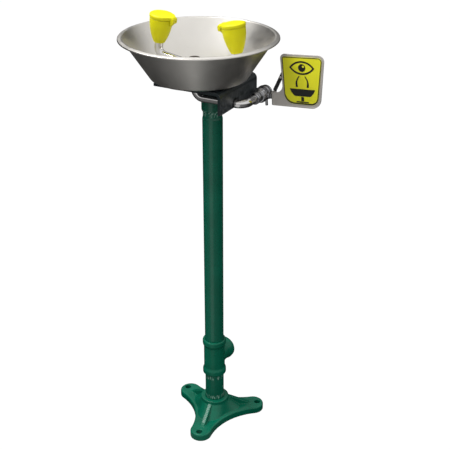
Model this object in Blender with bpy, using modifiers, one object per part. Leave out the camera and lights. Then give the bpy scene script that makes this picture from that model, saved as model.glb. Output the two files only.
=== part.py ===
"""Pedestal eyewash station: a green pipe column on a three-footed floor flange, a stainless bowl on
a bent bracket, two capped spray heads, and a stay-open ball valve that is worked by a push flag.

Lengths are metres. The origin is on the column's axis at the floor, +Z is up, -Y is the side that
the user stands on and +X is the user's right.
"""

import math

import bmesh
import bpy
from mathutils import Matrix, Vector

MM = 0.001
GAP = 0.3 * MM  # clearance left between pieces that touch

# Column: 1-1/4 inch pipe and its fittings
PIPE_R = 21.1 * MM
PIPE_BORE_R = 17.5 * MM
PIPE_THREAD_R = 19.9 * MM
SOCKET_R = PIPE_R + GAP
COLUMN_TOP = 737 * MM
COLUMN_THREAD_TOP = 768 * MM
COUPLING_R = 22.6 * MM
COLUMN_SIDES = 24
COUPLING_LOW = 749 * MM
COUPLING_TOP = 790 * MM

# Floor flange
FOOT_COUNT = 3
ANCHOR_CIRCLE_R = 101.6 * MM
FOOT_CENTRE_R = 91.5 * MM
FOOT_R = 24 * MM
FOOT_WAIST_R = 48 * MM
FIRST_FOOT = math.radians(38.3)
FLANGE_THICK = 16.5 * MM
FLANGE_EDGE = 3 * MM
ANCHOR_HOLE_R = 7 * MM
HUB_R = 32 * MM
HUB_TOP = 50 * MM
HUB_SHOULDER = 42 * MM
SKIRT_WAIST_R = 40 * MM
SKIRT_TOE_R = 60 * MM
RIB_HALF_WIDTH = 4 * MM
RIB_TOE_R = 84 * MM
SOCKET_FLOOR = 8 * MM

# Waste tee
TEE_LOW = 115.5 * MM
TEE_TOP = 206 * MM
TEE_R = 23.8 * MM
TEE_COLLAR_R = 26.5 * MM
TEE_SOCKET_DEPTH = 19 * MM
TEE_COLLAR = 18 * MM
BRANCH_HEIGHT = 156.5 * MM
BRANCH_REACH = 50 * MM
BRANCH_R = 23.3 * MM
BRANCH_COLLAR_R = 27 * MM
BRANCH_SOCKET_R = 17 * MM
BRANCH_BORE_R = 13.5 * MM

# Bracket under the bowl
BRACKET_TOP = 831.2 * MM
BRACKET_THICK = 6 * MM
BRACKET_LEFT = -64 * MM
BRACKET_RIGHT = 82 * MM
BRACKET_FRONT = -118 * MM
BRACKET_BACK = 36 * MM
BRACKET_FLANGE_LOW = 788 * MM
BRACKET_BEND_R = 11 * MM
NOTCH_HALF_WIDTH = 11 * MM
SUPPORT_SCREW_CIRCLE_R = 34 * MM

# Bowl
BOWL_Y = -52 * MM
BOWL_LOW = 834.5 * MM
BOWL_RIM = 917 * MM
BOWL_WALL = 1.2 * MM
BOWL_FLOOR_R = 94.5 * MM
BOWL_CORNER_R = 9 * MM
BOWL_NECK_R = 147 * MM
BOWL_LIP_DROP = 4.5 * MM
BOWL_RIM_R = 156 * MM
BOWL_INSIDE = BOWL_LOW + BOWL_WALL

# Bowl support and drain
SUPPORT_R = 45 * MM
SUPPORT_THICK = 9 * MM
SUPPORT_TOP = BRACKET_TOP - BRACKET_THICK - GAP
DRAIN_THROAT_R = 20.5 * MM
DRAIN_FLANGE_LOW = BOWL_INSIDE + 2 * MM
TAILPIECE_R = 15.9 * MM
TAILPIECE_LOW = 705 * MM

# Supply tube, arms and yoke
TUBE_R = 8.55 * MM
TUBE_WALL = 1.2 * MM
TUBE_HOLE_R = TUBE_R + 0.35 * MM
RUN_Z = 795 * MM
RISER_X = -6.5 * MM
HEAD_Y = -58 * MM
RUN_BEND_R = 19 * MM
YOKE_Z = 858 * MM
ARM_REACH = 89 * MM
ARM_BEND_R = 20 * MM
CUP_FOOT = 24 * MM
HEAD_TILT = math.radians(8.4)

# Valve, seen from its ball's centre
VALVE_CENTRE = Vector((102, 18, 795)) * MM
BALL_R = 10.2 * MM
BALL_BORE_R = 5.5 * MM
CAVITY_R = 11.2 * MM
STEM_R = 4 * MM
STEM_HOLE_R = STEM_R + GAP
STEM_TILT = math.radians(4)

# Push flag, in the plane that holds the stem's axis, seen from the ball's centre
FLAG_FRONT = -10.2 * MM
FLAG_THICK = 2.5 * MM
FLAG_TAB_X = 24.6 * MM
FLAG_TAB_LOW = -17.5 * MM
FLAG_TAB_TOP = 9.1 * MM
SIGN_THICK = 0.8 * MM
SIGN_MARGIN = 4.5 * MM
BRACE_FOOT = Vector((31.5, 0, 11.6)) * MM
BRACE_LEAN = math.radians(28)
BRACE_LENGTH = 56 * MM
BRACE_WIDTH = 7.5 * MM
BRACE_THICK = 2 * MM
RIVET_PLACES = (32 * MM, 50 * MM)
RIVET_R = 2 * MM

# Spray heads, along each head's own axis from the foot of its cup
CUP_OUTLINE = ((10.8, 0), (13.5, 7), (18, 18), (21.5, 32), (23, 48))
CUP_WALL = 2 * MM
LID_LOW = 48.3 * MM
LID_TOP = 58.5 * MM
LID_R = 23.8 * MM
LID_WALL = 2 * MM
HINGE_R = 27.3 * MM
HINGE_HEIGHT = 46 * MM
KNUCKLE_R = 3 * MM
HINGE_PIN_R = 1.2 * MM

for old in list(bpy.data.objects):
    bpy.data.objects.remove(old, do_unlink=True)

station = bpy.data.collections.new("eyewash_station")
cutters = bpy.data.collections.new("cutters")
bpy.context.scene.collection.children.link(station)
bpy.context.scene.collection.children.link(cutters)


# Materials


def material(name, colour, roughness, metallic=0.0):
    made = bpy.data.materials.new(name)
    made.use_nodes = True
    shader = made.node_tree.nodes["Principled BSDF"]
    shader.inputs["Base Color"].default_value = (*colour, 1)
    shader.inputs["Roughness"].default_value = roughness
    shader.inputs["Metallic"].default_value = metallic
    made.diffuse_color = (*colour, 1)
    return made


green_paint = material("green_paint", (0.010, 0.075, 0.045), 0.3)
stainless = material("stainless", (0.55, 0.54, 0.52), 0.35, 1)
chrome = material("chrome", (0.75, 0.75, 0.76), 0.12, 1)
brass = material("brass", (0.60, 0.45, 0.20), 0.3, 1)
flag_steel = material("flag_steel", (0.36, 0.34, 0.31), 0.45, 1)
dark_paint = material("dark_paint", (0.02, 0.027, 0.03), 0.3)
yellow_plastic = material("yellow_plastic", (0.82, 0.78, 0.04), 0.4)
sign_yellow = material("sign_yellow", (0.70, 0.68, 0.05), 0.5)
white_plastic = material("white_plastic", (0.75, 0.75, 0.73), 0.5)
rubber = material("rubber", (0.02, 0.02, 0.02), 0.7)


# Frames


def move(x=0.0, y=0.0, z=0.0):
    return Matrix.Translation((x, y, z))


def turn(angle, axis):
    return Matrix.Rotation(angle, 4, axis)


def bowl_frame():
    return move(y=BOWL_Y)


def valve_frame():
    """Its Z runs along the pipe, towards the supply inlet."""
    return Matrix.Translation(VALVE_CENTRE) @ turn(math.radians(-90), "X")


def flag_frame():
    """Its X runs out along the stem and its Z up the push flag."""
    return Matrix.Translation(VALVE_CENTRE) @ turn(-STEM_TILT, "Y")


def stem_frame():
    """Its Z runs out along the stem."""
    return flag_frame() @ turn(math.radians(90), "Y")


def upright(frame):
    """Stands a plate drawn in XY up in the frame's XZ plane."""
    return frame @ turn(math.radians(90), "X")


def arm_corner(side):
    return Vector((side * ARM_REACH, HEAD_Y, YOKE_Z + ARM_REACH * math.tan(HEAD_TILT)))


def head_frame(side):
    """The foot of a cup: Z runs up the head and X points in over the bowl."""
    facing = turn(math.radians(180) if side > 0 else 0, "Z")
    tilted = turn(-side * HEAD_TILT, "Y") @ facing
    return Matrix.Translation(arm_corner(side)) @ tilted @ move(z=CUP_FOOT)


def hinge_frame(side):
    return head_frame(side) @ move(x=HINGE_R, z=HINGE_HEIGHT)


# Shapes


def put(name, data, paint, frame=Matrix()):
    piece = bpy.data.objects.new(name, data)
    station.objects.link(piece)
    piece.matrix_world = frame
    if paint:
        data.materials.append(paint)
    return piece


def from_bmesh(name, shape, paint, frame=Matrix()):
    mesh = bpy.data.meshes.new(name)
    bmesh.ops.recalc_face_normals(shape, faces=shape.faces)
    shape.to_mesh(mesh)
    shape.free()
    return put(name, mesh, paint, frame)


def turned(name, profile, paint, frame=Matrix(), steps=32):
    """A turned solid. The profile of (radius, height) runs down the outer side, and up the bore."""
    mesh = bpy.data.meshes.new(name)
    count = len(profile)
    links = [(i, i + 1) for i in range(count - 1)]
    if profile[0][0] > 0:
        links.append((count - 1, 0))
    mesh.from_pydata([(radius, 0, height) for radius, height in profile], links, [])
    piece = put(name, mesh, paint, frame)
    screw = piece.modifiers.new("turn", "SCREW")
    screw.angle = math.tau
    screw.steps = screw.render_steps = steps
    screw.use_merge_vertices = True
    screw.merge_threshold = 0.00001
    return piece


def cylinder(name, radius, low, high, paint=None, frame=Matrix(), sides=20):
    shape = bmesh.new()
    middle = Matrix.Translation((0, 0, (low + high) / 2))
    bmesh.ops.create_cone(shape, cap_ends=True, segments=sides, radius1=radius, radius2=radius,
                          depth=high - low, matrix=middle)
    return from_bmesh(name, shape, paint, frame)


def ring(name, outer, inner, low, high, paint, frame=Matrix(), steps=20):
    profile = ((outer, high), (outer, low), (inner, low), (inner, high))
    return turned(name, profile, paint, frame, steps)


def box(name, low, high, paint=None, frame=Matrix()):
    shape = bmesh.new()
    size = Vector(high) - Vector(low)
    middle = (Vector(high) + Vector(low)) / 2
    bmesh.ops.create_cube(shape, size=1, matrix=Matrix.Translation(middle) @ Matrix.Diagonal((*size, 1)))
    return from_bmesh(name, shape, paint, frame)


def circle(radius, sides, centre=(0, 0), start=0.0):
    angles = [start + math.tau * i / sides for i in range(sides)]
    return [(centre[0] + radius * math.cos(a), centre[1] + radius * math.sin(a)) for a in angles]


def arc_corner(before, corner, after, radius, steps):
    """The points of a rounded corner, from one side to the other."""
    corner = Vector(corner)
    back = (Vector(before) - corner).normalized()
    ahead = (Vector(after) - corner).normalized()
    half = back.angle(ahead) / 2
    centre = corner + (back + ahead).normalized() * radius / math.sin(half)
    start = corner + back * radius / math.tan(half) - centre
    end = corner + ahead * radius / math.tan(half) - centre
    sweep = start.angle(end)
    points = []
    for i in range(steps + 1):
        share = i / steps
        blend = start * math.sin((1 - share) * sweep) + end * math.sin(share * sweep)
        points.append(centre + blend / math.sin(sweep))
    return points


def rounded_path(corners, radius, steps=5):
    points = [Vector(corners[0])]
    for before, corner, after in zip(corners, corners[1:], corners[2:]):
        points += arc_corner(before, corner, after, radius, steps)
    return points + [Vector(corners[-1])]


def rounded_outline(corners, steps=4):
    """A closed outline from (x, y, corner radius) entries."""
    points = []
    for i, (x, y, radius) in enumerate(corners):
        if not radius:
            points.append((x, y))
            continue
        before = corners[i - 1][:2]
        after = corners[(i + 1) % len(corners)][:2]
        points += [tuple(p) for p in arc_corner(before, (x, y), after, radius, steps)]
    return points


def plate(name, outlines, thickness, paint, frame=Matrix()):
    """A flat plate about its own XY plane. Each outline after the first is a hole."""
    curve = bpy.data.curves.new(name, "CURVE")
    curve.dimensions = "2D"
    curve.fill_mode = "BOTH"
    curve.extrude = thickness / 2
    for outline in outlines:
        spline = curve.splines.new("POLY")
        spline.points.add(len(outline) - 1)
        for point, (x, y) in zip(spline.points, outline):
            point.co = (x, y, 0, 1)
        spline.use_cyclic_u = True
    return put(name, curve, paint, frame)


def tube(name, path, radius, wall, paint):
    curve = bpy.data.curves.new(name, "CURVE")
    curve.dimensions = "3D"
    curve.bevel_depth = radius
    curve.bevel_resolution = 4
    spline = curve.splines.new("POLY")
    spline.points.add(len(path) - 1)
    for point, place in zip(spline.points, path):
        point.co = (*place, 1)
    piece = put(name, curve, paint)
    shell = piece.modifiers.new("wall", "SOLIDIFY")
    shell.thickness = wall
    shell.offset = -1
    return piece


def as_mesh(piece):
    """The curve's solid as a mesh object, which takes Booleans."""
    bpy.context.view_layer.update()
    solid = piece.evaluated_get(bpy.context.evaluated_depsgraph_get())
    mesh = bpy.data.meshes.new_from_object(solid)
    shape = bmesh.new()
    shape.from_mesh(mesh)
    bmesh.ops.remove_doubles(shape, verts=shape.verts, dist=0.000001)
    shape.to_mesh(mesh)
    shape.free()
    name = piece.name
    frame = piece.matrix_world.copy()
    bpy.data.objects.remove(piece, do_unlink=True)
    return put(name, mesh, None, frame)


def combine(piece, operation, tools):
    for tool in tools:
        station.objects.unlink(tool)
        cutters.objects.link(tool)
        tool.hide_render = True
        tool.display_type = "WIRE"
        step = piece.modifiers.new(operation.lower(), "BOOLEAN")
        step.operation = operation
        step.solver = "EXACT"
        step.object = tool
    return piece


def cut(piece, *tools):
    return combine(piece, "DIFFERENCE", tools)


def join(piece, *tools):
    return combine(piece, "UNION", tools)


def nut(name, across, bore, low, high, paint, frame=Matrix(), start=0.0):
    """A hexagon nut: across is the distance between its flats."""
    hexagon = circle(across / math.sqrt(3), 6, start=start)
    middle = frame @ move(z=(low + high) / 2)
    return plate(name, [hexagon, circle(bore, 16)], high - low, paint, middle)


def pivot(name, frame):
    empty = bpy.data.objects.new(name, None)
    station.objects.link(empty)
    empty.matrix_world = frame
    return empty


def hang(empty, *pieces):
    """Makes pieces turn with an empty on their joint's axis, where they stand."""
    bpy.context.view_layer.update()
    for piece in pieces:
        piece.parent = empty
        piece.matrix_parent_inverse = empty.matrix_world.inverted()


# Floor flange and column


def tripod_outline(foot_circle, foot_r, waist_r):
    """Feet on a circle, joined by arcs that touch them and come in to the waist."""
    reach = waist_r - foot_r
    arc_centre = (foot_circle**2 - reach**2) / (foot_circle - 2 * reach)
    arc_r = arc_centre - waist_r
    meet = math.atan2(arc_centre * math.sin(math.pi / FOOT_COUNT),
                      arc_centre * math.cos(math.pi / FOOT_COUNT) - foot_circle)
    foot_steps, arc_steps = 8, 6
    points = []
    for foot in range(FOOT_COUNT):
        heading = FIRST_FOOT + math.tau * foot / FOOT_COUNT
        centre = Vector((math.cos(heading), math.sin(heading))) * foot_circle
        for i in range(foot_steps + 1):
            angle = heading - meet + 2 * meet * i / foot_steps
            points.append(centre + Vector((math.cos(angle), math.sin(angle))) * foot_r)
        middle = heading + math.pi / FOOT_COUNT
        centre = Vector((math.cos(middle), math.sin(middle))) * arc_centre
        last = points[-1] - centre
        first_angle = math.atan2(last.y, last.x)
        spread = (middle + math.pi - first_angle + math.pi) % math.tau - math.pi
        for i in range(1, arc_steps):
            angle = first_angle + 2 * spread * i / arc_steps
            points.append(centre + Vector((math.cos(angle), math.sin(angle))) * arc_r)
    return points


def flange_skirt():
    """The cast skirt that rises from a three-pointed star on the plate to the round hub."""
    sides = 36
    shape = bmesh.new()
    levels = []
    angles = [math.tau * i / sides for i in range(sides)]
    sink = FLANGE_THICK - 3 * MM
    for height, waist, toe in (
        (sink, SKIRT_WAIST_R, SKIRT_TOE_R),
        (FLANGE_THICK, SKIRT_WAIST_R, SKIRT_TOE_R),
        (HUB_SHOULDER, HUB_R, HUB_R),
        (HUB_TOP, HUB_R - MM, HUB_R - MM),
    ):
        level = []
        for angle in angles:
            radius = waist + (toe - waist) * math.cos(FOOT_COUNT * (angle - FIRST_FOOT) / 2) ** 2
            level.append(shape.verts.new((radius * math.cos(angle), radius * math.sin(angle), height)))
        levels.append(level)
    for low, high in zip(levels, levels[1:]):
        for i in range(sides):
            k = (i + 1) % sides
            shape.faces.new((low[i], low[k], high[k], high[i]))
    shape.faces.new(levels[-1])
    shape.faces.new(reversed(levels[0]))
    return from_bmesh("flange_skirt", shape, green_paint)


def flange_rib(number):
    """A narrow rib that runs down from the hub to a foot."""
    half = RIB_HALF_WIDTH
    side = [(20 * MM, 10 * MM), (RIB_TOE_R, 10 * MM), (RIB_TOE_R, FLANGE_THICK + MM),
            (RIB_TOE_R - 6 * MM, FLANGE_THICK + 4 * MM), (HUB_R, HUB_SHOULDER + 2 * MM),
            (20 * MM, HUB_SHOULDER + 2 * MM)]
    shape = bmesh.new()
    near = [shape.verts.new((x, -half, z)) for x, z in side]
    far = [shape.verts.new((x, half, z)) for x, z in side]
    shape.faces.new(near)
    shape.faces.new(reversed(far))
    for i in range(len(side)):
        k = (i + 1) % len(side)
        shape.faces.new((near[i], far[i], far[k], near[k]))
    heading = FIRST_FOOT + math.tau * number / FOOT_COUNT
    return from_bmesh(f"flange_rib_{number}", shape, green_paint, turn(heading, "Z"))


def floor_flange():
    edge = FLANGE_EDGE
    shape = bmesh.new()
    levels = []
    for height, inset in ((0, 0), (FLANGE_THICK - edge, 0), (FLANGE_THICK - 0.3 * edge, 0.3 * edge),
                          (FLANGE_THICK, edge)):
        outline = tripod_outline(FOOT_CENTRE_R, FOOT_R - inset, FOOT_WAIST_R - inset)
        levels.append([shape.verts.new((*point, height)) for point in outline])
    for low, high in zip(levels, levels[1:]):
        for i in range(len(low)):
            k = (i + 1) % len(low)
            shape.faces.new((low[i], low[k], high[k], high[i]))
    shape.faces.new(levels[-1])
    shape.faces.new(reversed(levels[0]))
    flange = from_bmesh("floor_flange", shape, green_paint)
    join(flange, flange_skirt(), *[flange_rib(i) for i in range(FOOT_COUNT)])
    cut(flange, cylinder("flange_socket", SOCKET_R, SOCKET_FLOOR, HUB_TOP + MM, sides=COLUMN_SIDES))
    for i in range(FOOT_COUNT):
        heading = FIRST_FOOT + math.tau * i / FOOT_COUNT
        place = turn(heading, "Z") @ move(x=ANCHOR_CIRCLE_R)
        cut(flange, cylinder(f"anchor_hole_{i}", ANCHOR_HOLE_R, -MM, 2 * FLANGE_THICK, frame=place))


def waste_tee():
    chamfer = 2 * MM
    collar = TEE_COLLAR
    run = turned("waste_tee", (
        (0, TEE_TOP), (TEE_COLLAR_R - chamfer, TEE_TOP), (TEE_COLLAR_R, TEE_TOP - chamfer),
        (TEE_COLLAR_R, TEE_TOP - collar + chamfer), (TEE_R, TEE_TOP - collar),
        (TEE_R, TEE_LOW + collar), (TEE_COLLAR_R, TEE_LOW + collar - chamfer),
        (TEE_COLLAR_R, TEE_LOW + chamfer), (TEE_COLLAR_R - chamfer, TEE_LOW), (0, TEE_LOW),
    ), green_paint, steps=COLUMN_SIDES)
    backwards = move(z=BRANCH_HEIGHT) @ turn(math.radians(-90), "X")
    branch = turned("tee_branch", (
        (0, BRANCH_REACH), (BRANCH_COLLAR_R - chamfer, BRANCH_REACH),
        (BRANCH_COLLAR_R, BRANCH_REACH - chamfer),
        (BRANCH_COLLAR_R, BRANCH_REACH - collar + chamfer), (BRANCH_R, BRANCH_REACH - collar), (BRANCH_R, 0),
        (0, 0),
    ), green_paint, backwards, steps=COLUMN_SIDES)
    join(run, branch)
    run_bore = turned("tee_run_bore", (
        (0, TEE_TOP + MM), (SOCKET_R, TEE_TOP + MM), (SOCKET_R, TEE_TOP - TEE_SOCKET_DEPTH),
        (PIPE_BORE_R, TEE_TOP - TEE_SOCKET_DEPTH), (PIPE_BORE_R, TEE_LOW + TEE_SOCKET_DEPTH),
        (SOCKET_R, TEE_LOW + TEE_SOCKET_DEPTH), (SOCKET_R, TEE_LOW - MM), (0, TEE_LOW - MM),
    ), None, steps=COLUMN_SIDES)
    branch_bore = turned("tee_branch_bore", (
        (0, BRANCH_REACH + MM), (BRANCH_SOCKET_R, BRANCH_REACH + MM),
        (BRANCH_SOCKET_R, BRANCH_REACH - TEE_SOCKET_DEPTH), (BRANCH_BORE_R, BRANCH_REACH - TEE_SOCKET_DEPTH),
        (BRANCH_BORE_R, 5 * MM), (0, 5 * MM),
    ), None, backwards, steps=COLUMN_SIDES)
    cut(run, run_bore, branch_bore)


def column():
    stop = TEE_SOCKET_DEPTH - GAP
    ring("base_nipple", PIPE_R, PIPE_BORE_R, SOCKET_FLOOR + GAP, TEE_LOW + stop, green_paint,
         steps=COLUMN_SIDES)
    turned("column_pipe", (
        (PIPE_THREAD_R, COLUMN_THREAD_TOP), (PIPE_THREAD_R, COLUMN_TOP + MM), (PIPE_R - MM, COLUMN_TOP),
        (PIPE_R, COLUMN_TOP - 2 * MM), (PIPE_R, TEE_TOP - stop), (PIPE_BORE_R, TEE_TOP - stop),
        (PIPE_BORE_R, COLUMN_THREAD_TOP),
    ), green_paint, steps=COLUMN_SIDES)
    bore = PIPE_THREAD_R + GAP
    turned("top_coupling", (
        (COUPLING_R - MM, COUPLING_TOP), (COUPLING_R, COUPLING_TOP - MM), (COUPLING_R, COUPLING_LOW + 3 * MM),
        (COUPLING_R - 2 * MM, COUPLING_LOW), (bore, COUPLING_LOW), (bore, COUPLING_TOP),
    ), green_paint, steps=COLUMN_SIDES)


# Bowl support and drain


def support_screw_frame(number):
    angle = math.radians(45 + 90 * number)
    return turn(angle, "Z") @ move(x=SUPPORT_SCREW_CIRCLE_R)


def support_flange():
    bore = DRAIN_THROAT_R + GAP
    spigot_low = COLUMN_THREAD_TOP + 2 * MM
    under = SUPPORT_TOP - SUPPORT_THICK
    flange = turned("support_flange", (
        (SUPPORT_R - MM, SUPPORT_TOP), (SUPPORT_R, SUPPORT_TOP - MM), (SUPPORT_R, under),
        (28 * MM, under), (26 * MM, under - 6 * MM), (26 * MM, COUPLING_TOP + GAP),
        (PIPE_THREAD_R, COUPLING_TOP + GAP), (PIPE_THREAD_R, spigot_low),
        (TAILPIECE_R + 2 * GAP, spigot_low), (TAILPIECE_R + 2 * GAP, COUPLING_TOP + 4 * MM),
        (bore, COUPLING_TOP + 4 * MM), (bore, SUPPORT_TOP),
    ), green_paint, steps=COLUMN_SIDES)
    screw_hole = 3.3 * MM
    for i in range(4):
        place = support_screw_frame(i)
        cut(flange, cylinder(f"support_hole_{i}", screw_hole, under - MM, SUPPORT_TOP + MM, frame=place,
                             sides=12))
        head_top = under - GAP
        head = [(5.5 * MM, head_top), (5.5 * MM, head_top - 5 * MM), (0, head_top - 5 * MM)]
        shank = [(0, BRACKET_TOP - GAP), (3 * MM, BRACKET_TOP - GAP), (3 * MM, head_top)]
        turned(f"bracket_screw_{i + 1}", shank + head, chrome, place, steps=12)


def mounting_bracket():
    """A plate under the bowl whose right side is bent down into a flange."""
    outer = BRACKET_BEND_R
    inner = outer - BRACKET_THICK
    under = BRACKET_TOP - BRACKET_THICK
    inside = BRACKET_RIGHT - BRACKET_THICK
    section = rounded_outline((
        (BRACKET_LEFT, BRACKET_TOP, 0), (BRACKET_RIGHT, BRACKET_TOP, outer),
        (BRACKET_RIGHT, BRACKET_FLANGE_LOW, 0), (inside, BRACKET_FLANGE_LOW, 0), (inside, under, inner),
        (BRACKET_LEFT, under, 0),
    ))
    depth = BRACKET_BACK - BRACKET_FRONT
    middle = move(y=(BRACKET_BACK + BRACKET_FRONT) / 2)
    bracket = as_mesh(plate("mounting_bracket", [section], depth, dark_paint, upright(middle)))
    above, below = BRACKET_TOP + MM, under - MM
    cut(bracket, cylinder("bracket_drain_hole", DRAIN_THROAT_R + MM, below, above, sides=32))
    riser = move(RISER_X, HEAD_Y)
    cut(bracket, cylinder("bracket_riser_hole", TUBE_HOLE_R, below, above, frame=riser))
    for i in range(4):
        place = support_screw_frame(i)
        cut(bracket, cylinder(f"bracket_hole_{i}", 3.3 * MM, below, above, frame=place, sides=12))
    notch = NOTCH_HALF_WIDTH
    outline = [(-notch, BRACKET_FLANGE_LOW - RUN_Z - MM), (notch, BRACKET_FLANGE_LOW - RUN_Z - MM)]
    outline += [(notch * math.cos(math.pi * i / 10), notch * math.sin(math.pi * i / 10)) for i in range(11)]
    facing_right = turn(math.radians(90), "Z") @ turn(math.radians(90), "X")
    place = move(inside + BRACKET_THICK / 2, HEAD_Y, RUN_Z) @ facing_right
    cut(bracket, as_mesh(plate("bracket_notch", [outline], 2 * BRACKET_THICK, None, place)))


def bowl():
    """A flat-bottomed cone with a level lip, whose edge is turned down."""
    floor, wall = BOWL_LOW, BOWL_WALL
    corner_steps = 4
    slope_wall = 1.15 * wall
    under_lip = BOWL_RIM - wall
    outer = [Vector((0, floor))]
    outer_foot, outer_neck = (BOWL_FLOOR_R, floor), (BOWL_NECK_R, under_lip)
    outer += arc_corner((0, floor), outer_foot, outer_neck, BOWL_CORNER_R, corner_steps)
    outer += arc_corner(outer_foot, outer_neck, (BOWL_RIM_R, under_lip), 3 * MM, 2)
    outer.append(Vector((BOWL_RIM_R - wall, under_lip)))
    outer.append(Vector((BOWL_RIM_R - wall, BOWL_RIM - BOWL_LIP_DROP)))
    inner = [Vector((0, floor + wall))]
    foot = (BOWL_FLOOR_R - 0.5 * wall, floor + wall)
    neck = (BOWL_NECK_R - slope_wall + 0.5 * wall, BOWL_RIM)
    inner += arc_corner((0, floor + wall), foot, neck, BOWL_CORNER_R - wall, corner_steps)
    inner += arc_corner(foot, neck, (BOWL_RIM_R, BOWL_RIM), 4 * MM, 2)
    inner += arc_corner(neck, (BOWL_RIM_R, BOWL_RIM), (BOWL_RIM_R, floor), 1.5 * MM, 2)
    inner.append(Vector((BOWL_RIM_R, BOWL_RIM - BOWL_LIP_DROP)))
    profile = inner + outer[::-1]
    shell = turned("bowl", [tuple(point) for point in profile], stainless, bowl_frame(), steps=40)
    through = (floor - MM, floor + 2 * wall)
    cut(shell, cylinder("bowl_drain_hole", DRAIN_THROAT_R + MM, *through, sides=32))
    cut(shell, cylinder("bowl_riser_hole", TUBE_HOLE_R, *through, frame=move(RISER_X, HEAD_Y)))


def drain():
    throat = TAILPIECE_R + GAP
    flange_r = 30 * MM
    ring("bowl_pad", 33 * MM, DRAIN_THROAT_R + 2 * MM, BRACKET_TOP + GAP, BOWL_LOW - GAP, rubber)
    ring("drain_gasket", 28 * MM, DRAIN_THROAT_R + GAP, BOWL_INSIDE + GAP, DRAIN_FLANGE_LOW - GAP, rubber)
    top = DRAIN_FLANGE_LOW + 3 * MM
    turned("drain_body", (
        (flange_r - 2 * MM, top), (flange_r, DRAIN_FLANGE_LOW + MM), (flange_r, DRAIN_FLANGE_LOW),
        (DRAIN_THROAT_R, DRAIN_FLANGE_LOW), (DRAIN_THROAT_R, COUPLING_TOP + 6 * MM),
        (throat, COUPLING_TOP + 6 * MM), (throat, top - 2 * MM), (26 * MM, top - MM), (26 * MM, top),
    ), chrome, steps=24)
    ring("waste_tailpiece", TAILPIECE_R, TAILPIECE_R - 1.5 * MM, TAILPIECE_LOW, DRAIN_FLANGE_LOW - 3 * MM,
         chrome)
    strainer = turned("drain_strainer", (
        (0, top + 2 * MM), (20 * MM, top + 1.2 * MM), (25.5 * MM, top + 0.3 * MM),
        (25.5 * MM, top - 0.7 * MM), (0, top - 0.7 * MM),
    ), stainless, steps=24)
    for ring_r, count in ((8 * MM, 4), (16 * MM, 8)):
        for i in range(count):
            place = turn(math.tau * i / count, "Z") @ move(x=ring_r)
            cut(strainer, cylinder(f"strainer_hole_{count}_{i}", 2 * MM, top - 2 * MM, top + 4 * MM,
                                   frame=place, sides=6))


# Supply


def supply():
    valve_x = VALVE_CENTRE.x
    riser_top = YOKE_Z - 4 * MM
    outlet_y = VALVE_CENTRE.y - 16 * MM
    path = rounded_path((
        (RISER_X, HEAD_Y, riser_top), (RISER_X, HEAD_Y, RUN_Z), (valve_x, HEAD_Y, RUN_Z),
        (valve_x, outlet_y, RUN_Z),
    ), RUN_BEND_R)
    tube("supply_tube", path, TUBE_R, TUBE_WALL, chrome)
    riser = move(RISER_X, HEAD_Y)
    under = BRACKET_TOP - BRACKET_THICK
    nut("riser_locknut", 24 * MM, TUBE_HOLE_R, under - 5 * MM, under - GAP, chrome, riser)
    ring("riser_washer", 13 * MM, TUBE_HOLE_R, BOWL_INSIDE + GAP, BOWL_INSIDE + 2 * MM, rubber, riser)
    nut("riser_top_nut", 22 * MM, TUBE_HOLE_R, BOWL_INSIDE + 2.3 * MM, BOWL_INSIDE + 8 * MM, chrome, riser)


def ball_valve():
    flow = valve_frame()
    seat_far, seat_near = 10.6 * MM, 4 * MM
    body_end = 11.3 * MM
    tube_stop = 15 * MM
    body = turned("valve_body", (
        (0, body_end), (15 * MM, body_end), (15.5 * MM, 8 * MM), (15.5 * MM, -8 * MM), (13 * MM, -14 * MM),
        (11 * MM, -15 * MM), (11 * MM, -25 * MM), (0, -25 * MM),
    ), chrome, flow, steps=24)
    boss_top = 19 * MM
    boss = cylinder("valve_boss", 8 * MM, 6 * MM, boss_top, frame=stem_frame())
    join(body, boss)
    cut(body, turned("valve_body_bore", (
        (0, body_end + MM), (CAVITY_R, body_end + MM), (CAVITY_R, -11 * MM), (6.4 * MM, -11 * MM),
        (6.4 * MM, -tube_stop), (TUBE_HOLE_R, -tube_stop), (TUBE_HOLE_R, -26 * MM), (0, -26 * MM),
    ), None, flow, steps=24))
    cut(body, cylinder("stem_hole", STEM_HOLE_R, 5 * MM, boss_top + MM, frame=stem_frame(), sides=16))
    stop_place = flag_frame() @ move(x=9.5 * MM)
    cut(body, cylinder("stop_pin_hole", 3 * MM, -20 * MM, -9 * MM, frame=stop_place, sides=12))
    cylinder("valve_stop_pin", 2.7 * MM, -23 * MM, -9.3 * MM, chrome, stop_place, sides=12)
    ring("outlet_nut", 12 * MM, TUBE_HOLE_R, -35 * MM, -25.3 * MM, chrome, flow, steps=20)
    cap_low = body_end + GAP
    cap_top = 20 * MM
    turned("valve_end_cap", (
        (13 * MM, cap_top), (14 * MM, cap_top - MM), (14 * MM, cap_low), (10.9 * MM, cap_low),
        (10.9 * MM, seat_far + GAP), (6.4 * MM, seat_far + GAP), (6.4 * MM, cap_low), (8.5 * MM, cap_low),
        (8.5 * MM, cap_top),
    ), chrome, flow, steps=24)
    seat = ((10.9, seat_far / MM), (10.9, seat_near / MM), (9.9, 4.6), (6.4, 8.8), (6.4, seat_far / MM))
    seat = [(radius * MM, height * MM) for radius, height in seat]
    turned("valve_seat_rear", seat, white_plastic, flow, steps=16)
    turned("valve_seat_front", seat, white_plastic, flow @ turn(math.pi, "X"), steps=16)


def valve_ball():
    """The bore stands across the pipe at rest, with the valve shut."""
    start = math.asin(BALL_BORE_R / BALL_R)
    steps = 6
    arc = [start + (math.pi - 2 * start) * i / steps for i in range(steps + 1)]
    profile = [(BALL_R * math.sin(angle), BALL_R * math.cos(angle)) for angle in arc]
    return turned("valve_ball", profile, chrome, flag_frame(), steps=16)


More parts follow.
